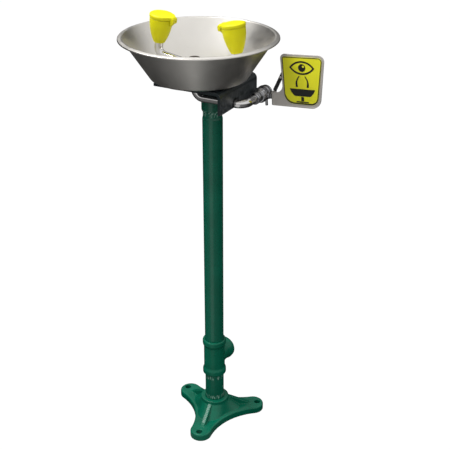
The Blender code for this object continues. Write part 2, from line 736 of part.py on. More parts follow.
def valve_stem():
    """The stem, its gland nut and the nut that holds the push flag on it."""
    place = stem_frame()
    nut("stem_gland_nut", 14 * MM, STEM_HOLE_R, 19.3 * MM, 24 * MM, chrome, place)
    tab_far = FLAG_TAB_X + FLAG_THICK
    lock = nut("handle_nut", 12 * MM, STEM_HOLE_R, tab_far + GAP, tab_far + 5 * MM, chrome, place)
    stem = cylinder("valve_stem", STEM_R, BALL_R + 2 * GAP, tab_far + 7 * MM, chrome, place, sides=16)
    return stem, lock


# Push flag


def flag_outline(inset=0.0):
    """The part of the flag that carries the sign, in the flag's own X and Z."""
    low, left = FLAG_TAB_LOW, 50.6 * MM
    return (
        (left + inset, low + 1.6 * inset, 20 * MM), (129 * MM - inset, low + 1.6 * inset, 20 * MM - inset),
        (139.5 * MM - inset, 87.6 * MM - inset, 12 * MM - inset),
        (47.3 * MM + inset, 86.6 * MM - inset, 9 * MM - inset),
    )


def flag_handle():
    """A plate with a tab that is bent back round the stem."""
    low_right, top_right, top_left = flag_outline()[1:]
    outline = rounded_outline((
        (FLAG_TAB_X, FLAG_TAB_LOW, 0), low_right, top_right, top_left, (51 * MM, FLAG_TAB_TOP, 15 * MM),
        (FLAG_TAB_X, FLAG_TAB_TOP, 0),
    ), steps=5)
    middle = upright(flag_frame() @ move(y=FLAG_FRONT + FLAG_THICK / 2))
    handle = as_mesh(plate("flag_handle", [outline], FLAG_THICK, flag_steel, middle))
    far = 12 * MM
    low = (FLAG_TAB_X, FLAG_FRONT + MM, FLAG_TAB_LOW)
    high = (FLAG_TAB_X + FLAG_THICK, far, FLAG_TAB_TOP)
    join(handle, box("flag_tab", low, high, flag_steel, flag_frame()))
    cut(handle, cylinder("flag_tab_hole", STEM_HOLE_R, FLAG_TAB_X - MM, FLAG_TAB_X + 2 * FLAG_THICK,
                         frame=stem_frame(), sides=16))
    for i in range(2):
        place = brace_frame(RIVET_PLACES[i])
        cut(handle, cylinder(f"flag_rivet_hole_{i}", RIVET_R + GAP, -20 * MM, 20 * MM, frame=place, sides=12))
    return handle




def brace_frame(along):
    """A point along the brace: Z runs through it, front to back."""
    foot = flag_frame() @ Matrix.Translation(BRACE_FOOT) @ turn(BRACE_LEAN, "Y")
    return foot @ move(z=along) @ turn(math.radians(-90), "X")


def flag_brace():
    """A flat bar riveted to the back of the flag."""
    front = FLAG_FRONT + FLAG_THICK + GAP
    half = BRACE_WIDTH / 2
    end_r = half * 0.9
    outline = rounded_outline((
        (-half, 0, 0), (half, 0, 0), (half, BRACE_LENGTH, end_r), (-half, BRACE_LENGTH, end_r),
    ), steps=3)
    frame = flag_frame() @ Matrix.Translation(BRACE_FOOT) @ turn(BRACE_LEAN, "Y")
    holes = [circle(RIVET_R + GAP, 12, (0, along)) for along in RIVET_PLACES]
    middle = upright(frame @ move(y=front + BRACE_THICK / 2))
    brace = plate("flag_brace", [outline, *holes], BRACE_THICK, dark_paint, middle)
    rivets = []
    for i, along in enumerate(RIVET_PLACES):
        back = front + BRACE_THICK + GAP
        profile = ((0, back + 1.5 * MM), (3 * MM, back + MM), (3.6 * MM, back), (RIVET_R, back),
                   (RIVET_R, FLAG_FRONT + GAP), (0, FLAG_FRONT + GAP))
        rivets.append(turned(f"brace_rivet_{i + 1}", profile, chrome, brace_frame(along), steps=12))
    return (brace, *rivets)


def push_sign():
    front = FLAG_FRONT - GAP - SIGN_THICK / 2
    place = upright(flag_frame() @ move(y=front))
    return plate("push_sign", [rounded_outline(flag_outline(SIGN_MARGIN))], SIGN_THICK, sign_yellow, place)


# Spray heads


def yoke_centre():
    return Vector((RISER_X, HEAD_Y, YOKE_Z))


def arm_heading(side):
    return (arm_corner(side) - yoke_centre()).normalized()


def arms():
    for side, word in ((-1, "left"), (1, "right")):
        start = yoke_centre() + arm_heading(side) * 12 * MM
        corner = arm_corner(side)
        up = (head_frame(side).to_3x3() @ Vector((0, 0, 1))).normalized()
        end = corner + up * (CUP_FOOT + 7.5 * MM)
        tube(f"arm_{word}", rounded_path((start, corner, end), ARM_BEND_R), TUBE_R, TUBE_WALL, chrome)


def yoke():
    """The fitting that joins the riser to both arms, with a plug in its top."""
    riser = Matrix.Translation(yoke_centre())
    fitting = turned("yoke_tee", (
        (0, 12 * MM), (10.5 * MM, 12 * MM), (11.5 * MM, 11 * MM), (11.5 * MM, -14 * MM), (0, -14 * MM),
    ), chrome, riser, steps=16)
    reach = 24 * MM
    socket_r = 10.4 * MM
    sockets = [riser @ arm_heading(side).to_track_quat("Z", "Y").to_matrix().to_4x4() for side in (-1, 1)]
    for i, outward in enumerate(sockets):
        profile = ((0, reach), (socket_r - MM, reach), (socket_r, reach - MM), (socket_r, 0), (0, 0))
        join(fitting, turned(f"yoke_socket_{i}", profile, chrome, outward, steps=16))
    for i, outward in enumerate(sockets):
        stop = 11 * MM
        cut(fitting, turned(f"yoke_socket_bore_{i}", (
            (0, reach + MM), (TUBE_HOLE_R, reach + MM), (TUBE_HOLE_R, stop), (5 * MM, stop), (5 * MM, -MM),
            (0, -MM),
        ), None, outward, steps=16))
    riser_stop = -3.5 * MM
    cut(fitting, turned("yoke_riser_bore", (
        (0, 13 * MM), (6 * MM, 13 * MM), (6 * MM, riser_stop), (TUBE_HOLE_R, riser_stop),
        (TUBE_HOLE_R, -15 * MM), (0, -15 * MM),
    ), None, riser, steps=16))
    turned("yoke_plug", (
        (0, 16.5 * MM), (8 * MM, 16.5 * MM), (9 * MM, 15.5 * MM), (9 * MM, 12.3 * MM), (5.7 * MM, 12.3 * MM),
        (5.7 * MM, 4 * MM), (0, 4 * MM),
    ), brass, riser, steps=12)


def cup_inside(height):
    """The cup's inner radius at a height, in the head's own frame."""
    for (low_r, low), (high_r, high) in zip(CUP_OUTLINE, CUP_OUTLINE[1:]):
        if low * MM <= height <= high * MM:
            share = (height - low * MM) / ((high - low) * MM)
            return (low_r + (high_r - low_r) * share) * MM - CUP_WALL
    return CUP_OUTLINE[-1][0] * MM - CUP_WALL


def knuckle(name, outline, low, high, frame):
    """A hinge lug: an outline in the head's XZ plane, from low to high along Y."""
    middle = upright(frame @ move(y=(low + high) / 2))
    return as_mesh(plate(name, [outline], high - low, yellow_plastic, middle))


def spray_head(side, word):
    frame = head_frame(side)
    outer = [(radius * MM, height * MM) for radius, height in CUP_OUTLINE[::-1]]
    floor = 9 * MM
    inner = [(TUBE_HOLE_R, 0), (TUBE_HOLE_R, floor)]
    inner += [(cup_inside(height), height) for height in (floor, 18 * MM, 32 * MM, 48 * MM)]
    cup = turned(f"head_cup_{word}", outer + inner, yellow_plastic, frame, steps=20)
    lug_half = 3.7 * MM
    pin_x, pin_z = HINGE_R, HINGE_HEIGHT
    turns = [math.radians(-45 + 27 * i) for i in range(6)]
    round_end = [(pin_x + KNUCKLE_R * math.cos(a), pin_z + KNUCKLE_R * math.sin(a)) for a in turns]
    lug = [(21.6 * MM, 37 * MM), (24.5 * MM, 39 * MM), *round_end, (22.3 * MM, 47 * MM)]
    join(cup, knuckle(f"cup_lug_{word}", lug, -lug_half, lug_half, frame))
    hinge = hinge_frame(side) @ turn(math.radians(90), "X")
    cut(cup, cylinder(f"cup_pin_hole_{word}", HINGE_PIN_R + GAP, -20 * MM, 20 * MM, frame=hinge, sides=12))
    turned(f"spray_insert_{word}", (
        (17.4 * MM, 37 * MM), (18 * MM, 35 * MM), (17 * MM, 31 * MM), (8 * MM, 20 * MM), (8 * MM, 9.3 * MM),
        (5 * MM, 9.3 * MM), (5 * MM, 22 * MM), (15 * MM, 35 * MM), (15 * MM, 37 * MM),
    ), white_plastic, frame, steps=16)
    disc = turned(f"flow_disc_{word}", (
        (0, 40.5 * MM), (14 * MM, 40 * MM), (18.8 * MM, 39 * MM), (18.8 * MM, 37.3 * MM), (0, 37.3 * MM),
    ), white_plastic, frame, steps=16)
    for i in range(6):
        place = frame @ turn(math.tau * i / 6, "Z") @ move(x=9 * MM)
        cut(disc, cylinder(f"flow_hole_{word}_{i}", 1.8 * MM, 36 * MM, 43 * MM, frame=place, sides=6))
    lid_and_pin(side, word, frame, hinge)


def lid_and_pin(side, word, frame, hinge):
    lid = turned(f"head_lid_{word}", (
        (0, LID_TOP), (13 * MM, LID_TOP - 0.3 * MM), (21 * MM, LID_TOP - 1.2 * MM),
        (LID_R, LID_TOP - 3.5 * MM), (LID_R, LID_LOW), (LID_R - LID_WALL, LID_LOW),
        (LID_R - LID_WALL, LID_TOP - 4 * MM),
        (20 * MM, LID_TOP - 3 * MM), (0, LID_TOP - 2.2 * MM),
    ), yellow_plastic, frame, steps=20)
    pin_x, pin_z = HINGE_R, HINGE_HEIGHT
    turns = [math.radians(180 + 36 * i) for i in range(6)]
    round_end = [(pin_x + KNUCKLE_R * math.cos(a), pin_z + KNUCKLE_R * math.sin(a)) for a in turns]
    lug = [*round_end, (pin_x + 2 * MM, 56 * MM), (20.8 * MM, 56.5 * MM), (22.9 * MM, 49 * MM)]
    near, far = 4.2 * MM, 8.2 * MM
    for sign in (-1, 1):
        low, high = sorted((sign * near, sign * far))
        join(lid, knuckle(f"lid_knuckle_{word}_{sign}", lug, low, high, frame))
    cut(lid, cylinder(f"lid_pin_hole_{word}", HINGE_PIN_R + GAP, -20 * MM, 20 * MM, frame=hinge, sides=12))
    pin = cylinder(f"lid_hinge_pin_{word}", HINGE_PIN_R, -8.6 * MM, 8.6 * MM, chrome, hinge, sides=12)
    hang(pivot(f"lid_pivot_{word}", hinge_frame(side)), lid, pin)


def push_flag():
    pieces = [flag_handle(), push_sign(), valve_ball(), *valve_stem(), *flag_brace()]
    hang(pivot("flag_pivot", flag_frame()), *pieces)


floor_flange()
waste_tee()
column()
support_flange()
mounting_bracket()
bowl()
drain()
supply()
ball_valve()
push_flag()
yoke()
arms()
spray_head(-1, "left")
spray_head(1, "right")
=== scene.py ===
"""The looks of the pedestal eyewash station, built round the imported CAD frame.

Lengths in the shape tables are millimetres, as marked by MM, and everything placed is in metres.
The frame's origin is on the column's axis at the floor; -Y is the user's side and +X the user's right.
"""

import math

import bmesh
import bpy
from mathutils import Matrix, Vector


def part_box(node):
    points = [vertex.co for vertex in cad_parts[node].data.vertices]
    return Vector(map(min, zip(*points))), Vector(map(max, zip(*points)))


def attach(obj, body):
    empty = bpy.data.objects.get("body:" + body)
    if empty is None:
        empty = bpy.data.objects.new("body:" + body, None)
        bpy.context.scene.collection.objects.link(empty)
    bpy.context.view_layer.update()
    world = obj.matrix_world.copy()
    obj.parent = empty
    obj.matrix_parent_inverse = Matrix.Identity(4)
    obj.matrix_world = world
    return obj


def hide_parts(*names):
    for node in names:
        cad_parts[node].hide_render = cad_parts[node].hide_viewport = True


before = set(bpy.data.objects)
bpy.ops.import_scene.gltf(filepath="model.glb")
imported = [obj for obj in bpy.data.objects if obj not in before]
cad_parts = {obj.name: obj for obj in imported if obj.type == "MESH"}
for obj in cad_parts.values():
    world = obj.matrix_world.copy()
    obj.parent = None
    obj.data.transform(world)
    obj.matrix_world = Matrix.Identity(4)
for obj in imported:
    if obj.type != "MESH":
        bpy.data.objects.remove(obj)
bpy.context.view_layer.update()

MM = 0.001
GAP = 0.3

# Driving sizes, in millimetres, read from the frame where it has them
BOWL_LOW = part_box("bowl")[0].z / MM
BOWL_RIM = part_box("bowl")[1].z / MM
BOWL_Y = (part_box("bowl")[0].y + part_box("bowl")[1].y) / 2 / MM
BOWL_RIM_R = (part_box("bowl")[1].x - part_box("bowl")[0].x) / 2 / MM
BOWL_FLOOR_R = 94.5
BOWL_NECK_R = 147
BOWL_WALL = 1.2
PIPE_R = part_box("base_nipple")[1].x / MM
PIPE_BORE_R = 17.5
THREAD_R = 19.9
COLUMN_TOP = 737
THREAD_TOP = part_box("column_pipe")[1].z / MM
COUPLING_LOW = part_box("top_coupling")[0].z / MM
COUPLING_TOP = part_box("top_coupling")[1].z / MM
COUPLING_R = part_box("top_coupling")[1].x / MM
FLANGE_TOP = 16.5
HUB_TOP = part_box("floor_flange")[1].z / MM
HUB_SHOULDER = HUB_TOP - 8
HUB_R = 32
ANCHOR_CIRCLE_R = 101.6
ANCHOR_HOLE_R = 7
FOOT_CENTRE_R = 91.5
FOOT_R = 24
FOOT_WAIST_R = 48
FOOT_COUNT = 3
FIRST_FOOT = math.radians(38.3)
TEE_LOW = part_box("waste_tee")[0].z / MM
TEE_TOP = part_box("waste_tee")[1].z / MM
TEE_COLLAR_R = 26.5
TEE_R = 23.8
BRANCH_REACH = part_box("waste_tee")[1].y / MM
BRANCH_HEIGHT = 156.5
BRANCH_COLLAR_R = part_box("waste_tee")[1].x / MM
BRANCH_R = 23.3
BRACKET_LOW, BRACKET_HIGH = (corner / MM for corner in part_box("mounting_bracket"))
BRACKET_THICK = 6
RUN_Z = 795
RISER_X = -6.5
HEAD_Y = -58
TUBE_R = 8.55
RUN_BEND_R = 19
YOKE_Z = 858
ARM_REACH = 89
ARM_BEND_R = 20
CUP_FOOT = 24
HEAD_TILT = math.radians(8.4)
HINGE_R = 27.3
HINGE_HEIGHT = 46
PIN_R = 1.2
PIN_HOLE_R = 1.5
VALVE_CENTRE = Vector((102, 18, 795))
STEM_TILT = math.radians(4)
STEM_R = 4
STEM_HOLE_R = 4.3
FLAG_FRONT = -10.2
FLAG_THICK = 2.5
FLAG_TAB_X = 24.6
FLAG_TAB_LOW = -17.5
FLAG_TAB_TOP = 9.1
SIGN_MARGIN = 4.5
SIGN_THICK = 0.8
BEND_INNER_R = 1.6
BRACE_FOOT = Vector((31.5, 0, 11.6))
BRACE_LEAN = 28
BRACE_LENGTH = 56
BRACE_WIDTH = 7.5
BRACE_THICK = 2
RIVET_PLACES = (32, 50)
RIVET_R = 2

# The camera that the photograph was solved to, in millimetres of lens, metres and degrees
CAMERA_LENS = 77.39
CAMERA_SENSOR = 36
CAMERA_PLACE = (0.9037, -1.6299, 1.4017)
CAMERA_TURN = (63.96, 0.112, 28.187)


# Frames, in millimetres


def move(x=0.0, y=0.0, z=0.0):
    return Matrix.Translation((x, y, z))


def turn(degrees, axis):
    return Matrix.Rotation(math.radians(degrees), 4, axis)


def arm_corner(side):
    return Vector((side * ARM_REACH, HEAD_Y, YOKE_Z + ARM_REACH * math.tan(HEAD_TILT)))


def head_frame(side):
    facing = turn(180 if side > 0 else 0, "Z")
    tilted = turn(-side * math.degrees(HEAD_TILT), "Y") @ facing
    return Matrix.Translation(arm_corner(side)) @ tilted @ move(z=CUP_FOOT)


def valve_frame():
    return Matrix.Translation(VALVE_CENTRE) @ turn(-90, "X")


def flag_frame():
    return Matrix.Translation(VALVE_CENTRE) @ turn(-math.degrees(STEM_TILT), "Y")


def stem_frame():
    return flag_frame() @ turn(90, "Y")


def upright(place):
    return place @ turn(90, "X")


def yoke_centre():
    return Vector((RISER_X, HEAD_Y, YOKE_Z))


def arm_heading(side):
    return (arm_corner(side) - yoke_centre()).normalized()


# Materials


def add(tree, kind, **settings):
    """A shader node. A setting that is a socket is linked, and any other is a value or a property."""
    made = tree.nodes.new(kind)
    for name, value in settings.items():
        target = made.inputs.get(name.replace("_", " ")) if not hasattr(made, name) else None
        if target is None:
            setattr(made, name, value)
        elif isinstance(value, bpy.types.NodeSocket):
            tree.links.new(value, target)
        else:
            target.default_value = value
    return made


def blank(name, roughness=0.4, metallic=0.0, coat=0.0, coat_roughness=0.05, anisotropy=0.0):
    made = bpy.data.materials.new(name)
    made.use_nodes = True
    shader = made.node_tree.nodes["Principled BSDF"]
    shader.inputs["Roughness"].default_value = roughness
    shader.inputs["Metallic"].default_value = metallic
    shader.inputs["Coat Weight"].default_value = coat
    shader.inputs["Coat Roughness"].default_value = coat_roughness
    shader.inputs["Anisotropic"].default_value = anisotropy
    return made, made.node_tree, shader


def noise(tree, where, scale, detail=3.0, rough=0.5):
    made = add(tree, "ShaderNodeTexNoise", Vector=where, Scale=scale, Detail=detail, Roughness=rough)
    return made.outputs["Fac"]


def between(tree, factor, low, high, from_low=0.3, from_high=0.7, curve="LINEAR"):
    """A factor turned into a number from low to high."""
    node = add(tree, "ShaderNodeMapRange", Value=factor, interpolation_type=curve)
    levels = {"From Min": from_low, "From Max": from_high, "To Min": low, "To Max": high}
    for name, value in levels.items():
        node.inputs[name].default_value = value
    return node.outputs["Result"]


def blend_colours(tree, factor, first, second):
    node = tree.nodes.new("ShaderNodeMix")
    node.data_type = "RGBA"
    tree.links.new(factor, node.inputs["Factor"])
    for socket, value in ((node.inputs[6], first), (node.inputs[7], second)):
        if isinstance(value, bpy.types.NodeSocket):
            tree.links.new(value, socket)
        else:
            socket.default_value = (*value, 1)
    return node.outputs[2]


def math_node(tree, operation, first, second=0.0):
    node = tree.nodes.new("ShaderNodeMath")
    node.operation = operation
    for socket, value in zip(node.inputs, (first, second)):
        if isinstance(value, bpy.types.NodeSocket):
            tree.links.new(value, socket)
        else:
            socket.default_value = value
    return node.outputs[0]


def coat_with(tree, shader, colour, roughness):
    tree.links.new(colour, shader.inputs["Base Color"])
    tree.links.new(roughness, shader.inputs["Roughness"])


def bump(tree, shader, height, strength, distance):
    node = add(tree, "ShaderNodeBump", Height=height, Strength=strength, Distance=distance)
    tree.links.new(node.outputs["Normal"], shader.inputs["Normal"])


def object_place(tree, shift=(0, 0, 0), scale=(1, 1, 1)):
    coordinates = tree.nodes.new("ShaderNodeTexCoord").outputs["Object"]
    mapping = add(tree, "ShaderNodeMapping", Vector=coordinates)
    mapping.inputs["Location"].default_value = shift
    mapping.inputs["Scale"].default_value = scale
    return mapping.outputs["Vector"]


def convex_edges(tree, start=0.53, end=0.60):
    """1 on convex edges, 0 elsewhere."""
    pointiness = tree.nodes.new("ShaderNodeNewGeometry").outputs["Pointiness"]
    return between(tree, pointiness, 0, 1, start, end)


def gloss_paint(name, colour, deep, worn_and_highlight, cast=0.0, gloss=0.35, scuff_bands=()):
    """Gloss paint: uneven depth, orange peel, convex edges lightened partly as rubbed paint and partly as
    a painted highlight, and scuff marks where a wrench gripped.
    """
    made, tree, shader = blank(name, coat=gloss, coat_roughness=0.12)
    shader.inputs["Specular IOR Level"].default_value = 0.22 if cast else 0.34
    where = object_place(tree)
    cloud = noise(tree, where, 22, 4)
    tint = blend_colours(tree, between(tree, cloud, 0, 1), deep, colour)
    # Convex edges take the lighter colour: partly rubbed paint, partly a painted highlight along the
    # edges.
    rubbed = between(tree, noise(tree, where, 140), 0, 0.55)
    scuffs_and_highlight = math_node(tree, "MULTIPLY", convex_edges(tree), rubbed)
    height = add(tree, "ShaderNodeSeparateXYZ", Vector=where).outputs["Z"]
    teeth = noise(tree, object_place(tree, scale=(1, 1, 0.25)), 420, 2, 0.6)
    teeth = between(tree, teeth, 0, 0.9, 0.53, 0.62)
    for low, high in scuff_bands:
        middle, half = (low + high) / 2 * MM, (high - low) / 2 * MM
        away = math_node(tree, "ABSOLUTE", math_node(tree, "SUBTRACT", height, middle))
        band = between(tree, away, 1, 0, half * 0.7, half)
        scuffs_and_highlight = math_node(tree, "MAXIMUM", scuffs_and_highlight, math_node(tree, "MULTIPLY", band, teeth))
    sheen = between(tree, noise(tree, where, 60, 5), 0.24, 0.4)
    roughness = math_node(tree, "ADD", sheen, math_node(tree, "MULTIPLY", scuffs_and_highlight, 0.25))
    coat_with(tree, shader, blend_colours(tree, scuffs_and_highlight, tint, worn_and_highlight), roughness)
    peel = noise(tree, where, 650, 2)
    if cast:
        grit = noise(tree, where, 240, 5, 0.65)
        peel = math_node(tree, "ADD", peel, math_node(tree, "MULTIPLY", grit, 3.0))
    bump(tree, shader, peel, 0.12 + cast, 0.0004)
    return made


def spun_steel(name, tone, dark, rough, axis_y=0.0):
    """Sheet steel spun on a lathe: fine rings round an upright axis, and a satin bloom."""
    made, tree, shader = blank(name, metallic=1, anisotropy=0.45)
    where = object_place(tree, shift=(0, -axis_y * MM, 0))
    split = add(tree, "ShaderNodeSeparateXYZ", Vector=where)
    flat = add(tree, "ShaderNodeCombineXYZ", X=split.outputs["X"], Y=split.outputs["Y"])
    radius = add(tree, "ShaderNodeVectorMath", operation="LENGTH")
    tree.links.new(flat.outputs[0], radius.inputs[0])
    along = math_node(tree, "ADD", radius.outputs["Value"], split.outputs["Z"])
    rings = add(tree, "ShaderNodeTexNoise", noise_dimensions="1D", W=along, Scale=1500.0, Detail=3.0)
    bloom = noise(tree, where, 9, 3)
    grain = between(tree, rings.outputs["Fac"], 0, 0.08)
    base = between(tree, noise(tree, where, 35, 4), rough, rough + 0.08)
    tint = blend_colours(tree, between(tree, bloom, 0, 1), dark, tone)
    coat_with(tree, shader, tint, math_node(tree, "ADD", base, grain))
    tangent = add(tree, "ShaderNodeTangent", direction_type="RADIAL", axis="Z")
    tree.links.new(tangent.outputs[0], shader.inputs["Tangent"])
    bump(tree, shader, rings.outputs["Fac"], 0.05, 0.0002)
    return made


def bright_plate(name, tone, dark, rough, smudge=0.1):
    """Chrome or nickel plate with faint smudges and water marks."""
    made, tree, shader = blank(name, metallic=1)
    where = object_place(tree)
    cloud = noise(tree, where, 55, 5, 0.6)
    marks = between(tree, noise(tree, where, 120, 4), rough, rough + smudge)
    coat_with(tree, shader, blend_colours(tree, between(tree, cloud, 0, 1), dark, tone), marks)
    bump(tree, shader, noise(tree, where, 500, 3), 0.03, 0.0002)
    return made


def rolled_steel(name, tone, dark, rough):
    """Plate with a fine grain along it, tumbled edges and faint blotches."""
    made, tree, shader = blank(name, metallic=0.45)
    grain = noise(tree, object_place(tree, scale=(1, 1, 14)), 160, 4, 0.7)
    where = object_place(tree)
    blotch = noise(tree, where, 30, 4)
    tint = blend_colours(tree, between(tree, blotch, 0, 1), dark, tone)
    wear = math_node(tree, "MULTIPLY", convex_edges(tree), 0.5)
    brighter = tuple(min(1.0, level * 1.5) for level in tone)
    roughness = between(tree, grain, rough, rough + 0.14)
    coat_with(tree, shader, blend_colours(tree, wear, tint, brighter), roughness)
    bump(tree, shader, grain, 0.10, 0.0002)
    return made


def moulded_plastic(name, colour, deep, rough, softness=0.0, peel=0.08):
    """Moulded plastic: a faint satin texture, uneven depth and rubbed high spots."""
    made, tree, shader = blank(name)
    shader.inputs["Specular IOR Level"].default_value = 0.25
    where = object_place(tree)
    cloud = noise(tree, where, 26, 3)
    tint = blend_colours(tree, between(tree, cloud, 0, 1), deep, colour)
    pale = tuple(min(1.0, level * 1.1 + 0.03) for level in colour)
    wear = math_node(tree, "MULTIPLY", convex_edges(tree, 0.52, 0.6), 0.6)
    satin = between(tree, noise(tree, where, 90, 4), rough, rough + 0.12)
    coat_with(tree, shader, blend_colours(tree, wear, tint, pale), satin)
    shader.inputs["Subsurface Weight"].default_value = softness
    shader.inputs["Subsurface Radius"].default_value = (0.004, 0.003, 0.001)
    bump(tree, shader, noise(tree, where, 900, 3), peel, 0.0002)
    return made


def printed_ink(name):
    made, tree, shader = blank(name)
    where = object_place(tree)
    spots = between(tree, noise(tree, where, 700, 4, 0.7), 0, 1, 0.62, 0.75)
    satin = between(tree, noise(tree, where, 80), 0.38, 0.55)
    tint = blend_colours(tree, spots, (0.006, 0.006, 0.004), (0.06, 0.055, 0.01))
    coat_with(tree, shader, tint, satin)
    return made


SCUFF_BANDS = (
    (TEE_LOW - 13, TEE_LOW - 2), (HUB_TOP + 0.5, HUB_TOP + 11), (COUPLING_LOW - 9, COUPLING_LOW + 6),
)
# The third colour of each paint is that of its lightened convex edges and scuff bands: rubbed paint, and
# on the edges also a painted highlight.
cast_green = gloss_paint("cast_green_paint", (0.001, 0.140, 0.080), (0.001, 0.100, 0.056),
                         (0.14, 0.42, 0.30), cast=0.06, gloss=0.12)
pipe_green = gloss_paint("pipe_green_paint", (0.0005, 0.120, 0.070), (0.0005, 0.092, 0.053),
                         (0.26, 0.44, 0.36), scuff_bands=SCUFF_BANDS)
slate = gloss_paint("slate_paint", (0.015, 0.022, 0.025), (0.009, 0.014, 0.016), (0.18, 0.19, 0.20),
                    gloss=0.2)
bar_black = gloss_paint("bar_paint", (0.012, 0.012, 0.013), (0.006, 0.006, 0.007), (0.12, 0.12, 0.12))
bowl_steel = spun_steel("bowl_steel", (0.81, 0.785, 0.74), (0.73, 0.705, 0.66), 0.27, BOWL_Y)
drain_steel = spun_steel("drain_steel", (0.62, 0.61, 0.58), (0.5, 0.49, 0.46), 0.2)
chrome = bright_plate("chrome_plate", (0.72, 0.71, 0.70), (0.55, 0.54, 0.53), 0.06)
valve_chrome = bright_plate("valve_plate", (0.50, 0.50, 0.51), (0.26, 0.26, 0.27), 0.10, 0.14)
old_brass = bright_plate("old_brass", (0.20, 0.16, 0.12), (0.10, 0.085, 0.07), 0.35, 0.15)
flag_plate = rolled_steel("flag_plate_steel", (0.62, 0.58, 0.54), (0.52, 0.49, 0.455), 0.42)
yellow = moulded_plastic("yellow_plastic_satin", (0.73, 0.69, 0.006), (0.67, 0.63, 0.005), 0.40, 0.20)
sign_face = moulded_plastic("sign_face", (0.84, 0.82, 0.028), (0.76, 0.74, 0.024), 0.36)
ink = printed_ink("sign_ink")
white = moulded_plastic("white_plastic_satin", (0.74, 0.74, 0.70), (0.66, 0.66, 0.62), 0.4, 0.05)
black_rubber = moulded_plastic("black_rubber", (0.02, 0.02, 0.02), (0.012, 0.012, 0.012), 0.6, peel=0.2)


# Shapes


def arc_corner(before, corner, after, radius, steps):
    """The points of a rounded corner. The radius shrinks to what the two sides leave."""
    corner = Vector(corner)
    back, ahead = Vector(before) - corner, Vector(after) - corner
    half = back.angle(ahead) / 2
    if radius <= 0 or half > math.pi / 2 - 0.01:
        return [corner]
    run = min(radius / math.tan(half), 0.499 * back.length, 0.499 * ahead.length)
    radius = run * math.tan(half)
    back.normalize()
    ahead.normalize()
    centre = corner + (back + ahead).normalized() * radius / math.sin(half)
    start, end = corner + back * run - centre, corner + ahead * run - centre
    sweep = start.angle(end)
    points = []
    for i in range(steps + 1):
        share = i / steps
        blend = start * math.sin((1 - share) * sweep) + end * math.sin(share * sweep)
        points.append(centre + blend / math.sin(sweep))
    return points


def rounded(corners, closed=True, steps=5):
    """An outline from (x, y) or (x, y, corner radius) entries."""
    points = []
    count = len(corners)
    for i, (x, y, *radius) in enumerate(corners):
        ends = not closed and i in (0, count - 1)
        if ends or not radius or not radius[0]:
            points.append(Vector((x, y)))
            continue
        before, after = corners[i - 1][:2], corners[(i + 1) % count][:2]
        points += arc_corner(before, (x, y), after, radius[0], steps)
    return points


def rounded_path(corners, radius, steps=14):
    points = [Vector(corners[0])]
    for before, corner, after in zip(corners, corners[1:], corners[2:]):
        points += arc_corner(before, corner, after, radius, steps)
    return points + [Vector(corners[-1])]


def circle(radius, sides, centre=(0, 0)):
    angles = [math.tau * i / sides for i in range(sides)]
    return [(centre[0] + radius * math.cos(a), centre[1] + radius * math.sin(a)) for a in angles]


def arc_points(centre, radius, first, last, steps=14):
    """The points of an arc from one angle to another, in degrees."""
    turns = [math.radians(first + (last - first) * i / steps) for i in range(steps + 1)]
    return [(centre[0] + radius * math.cos(a), centre[1] + radius * math.sin(a)) for a in turns]


def to_mesh(shape, place=Matrix()):
    """The finished mesh of a bmesh drawn in millimetres."""
    bmesh.ops.recalc_face_normals(shape, faces=shape.faces)
    shape.transform(Matrix.Scale(MM, 4) @ place)
    mesh = bpy.data.meshes.new("shape")
    shape.to_mesh(mesh)
    shape.free()
    return mesh


def loose(name, mesh):
    made = bpy.data.objects.new(name, mesh)
    bpy.context.scene.collection.objects.link(made)
    return made


def lathe(corners, place=Matrix(), steps=96):
    """A turned solid from (radius, height, corner radius) entries: a ring, or closed on its axis."""
    closed = corners[0][0] > 0
    profile = rounded(corners, closed)
    shape = bmesh.new()
    rings = []
    for radius, height in profile:
        if radius < 1e-6:
            rings.append([shape.verts.new((0, 0, height))] * steps)
            continue
        rings.append([shape.verts.new((x, y, height)) for x, y in circle(radius, steps)])
    pairs = list(zip(rings, rings[1:]))
    if closed:
        pairs.append((rings[-1], rings[0]))
    for first, second in pairs:
        for i in range(steps):
            k = (i + 1) % steps
            corner_points = []
            for point in (first[i], first[k], second[k], second[i]):
                if point not in corner_points:
                    corner_points.append(point)
            if len(corner_points) > 2:
                shape.faces.new(corner_points)
    return loose("turned", to_mesh(shape, place))


def cylinder(radius, high, low, place=Matrix(), steps=48):
    """A plain round bar, for a pin or to cut a hole."""
    return lathe(((0, high), (radius, high), (radius, low), (0, low)), place, steps)


def settle(thing):
    """The object with its modifiers applied, or its curve made a mesh with welded seams."""
    bpy.context.view_layer.update()
    mesh = bpy.data.meshes.new_from_object(thing.evaluated_get(bpy.context.evaluated_depsgraph_get()))
    shape = bmesh.new()
    shape.from_mesh(mesh)
    bmesh.ops.remove_doubles(shape, verts=shape.verts, dist=1e-6)
    shape.transform(thing.matrix_world)
    bmesh.ops.recalc_face_normals(shape, faces=shape.faces)
    shape.to_mesh(mesh)
    shape.free()
    name = thing.name
    bpy.data.objects.remove(thing, do_unlink=True)
    return loose(name, mesh)


def boolean(thing, operation, *tools):
    for tool in tools:
        step = thing.modifiers.new(operation.lower(), "BOOLEAN")
        step.operation = operation
        step.solver = "MANIFOLD"
        step.object = tool
    made = settle(thing)
    for tool in tools:
        bpy.data.objects.remove(tool, do_unlink=True)
    return made


def join(thing, *tools):
    return boolean(thing, "UNION", *tools)


def cut(thing, *tools):
    return boolean(thing, "DIFFERENCE", *tools)


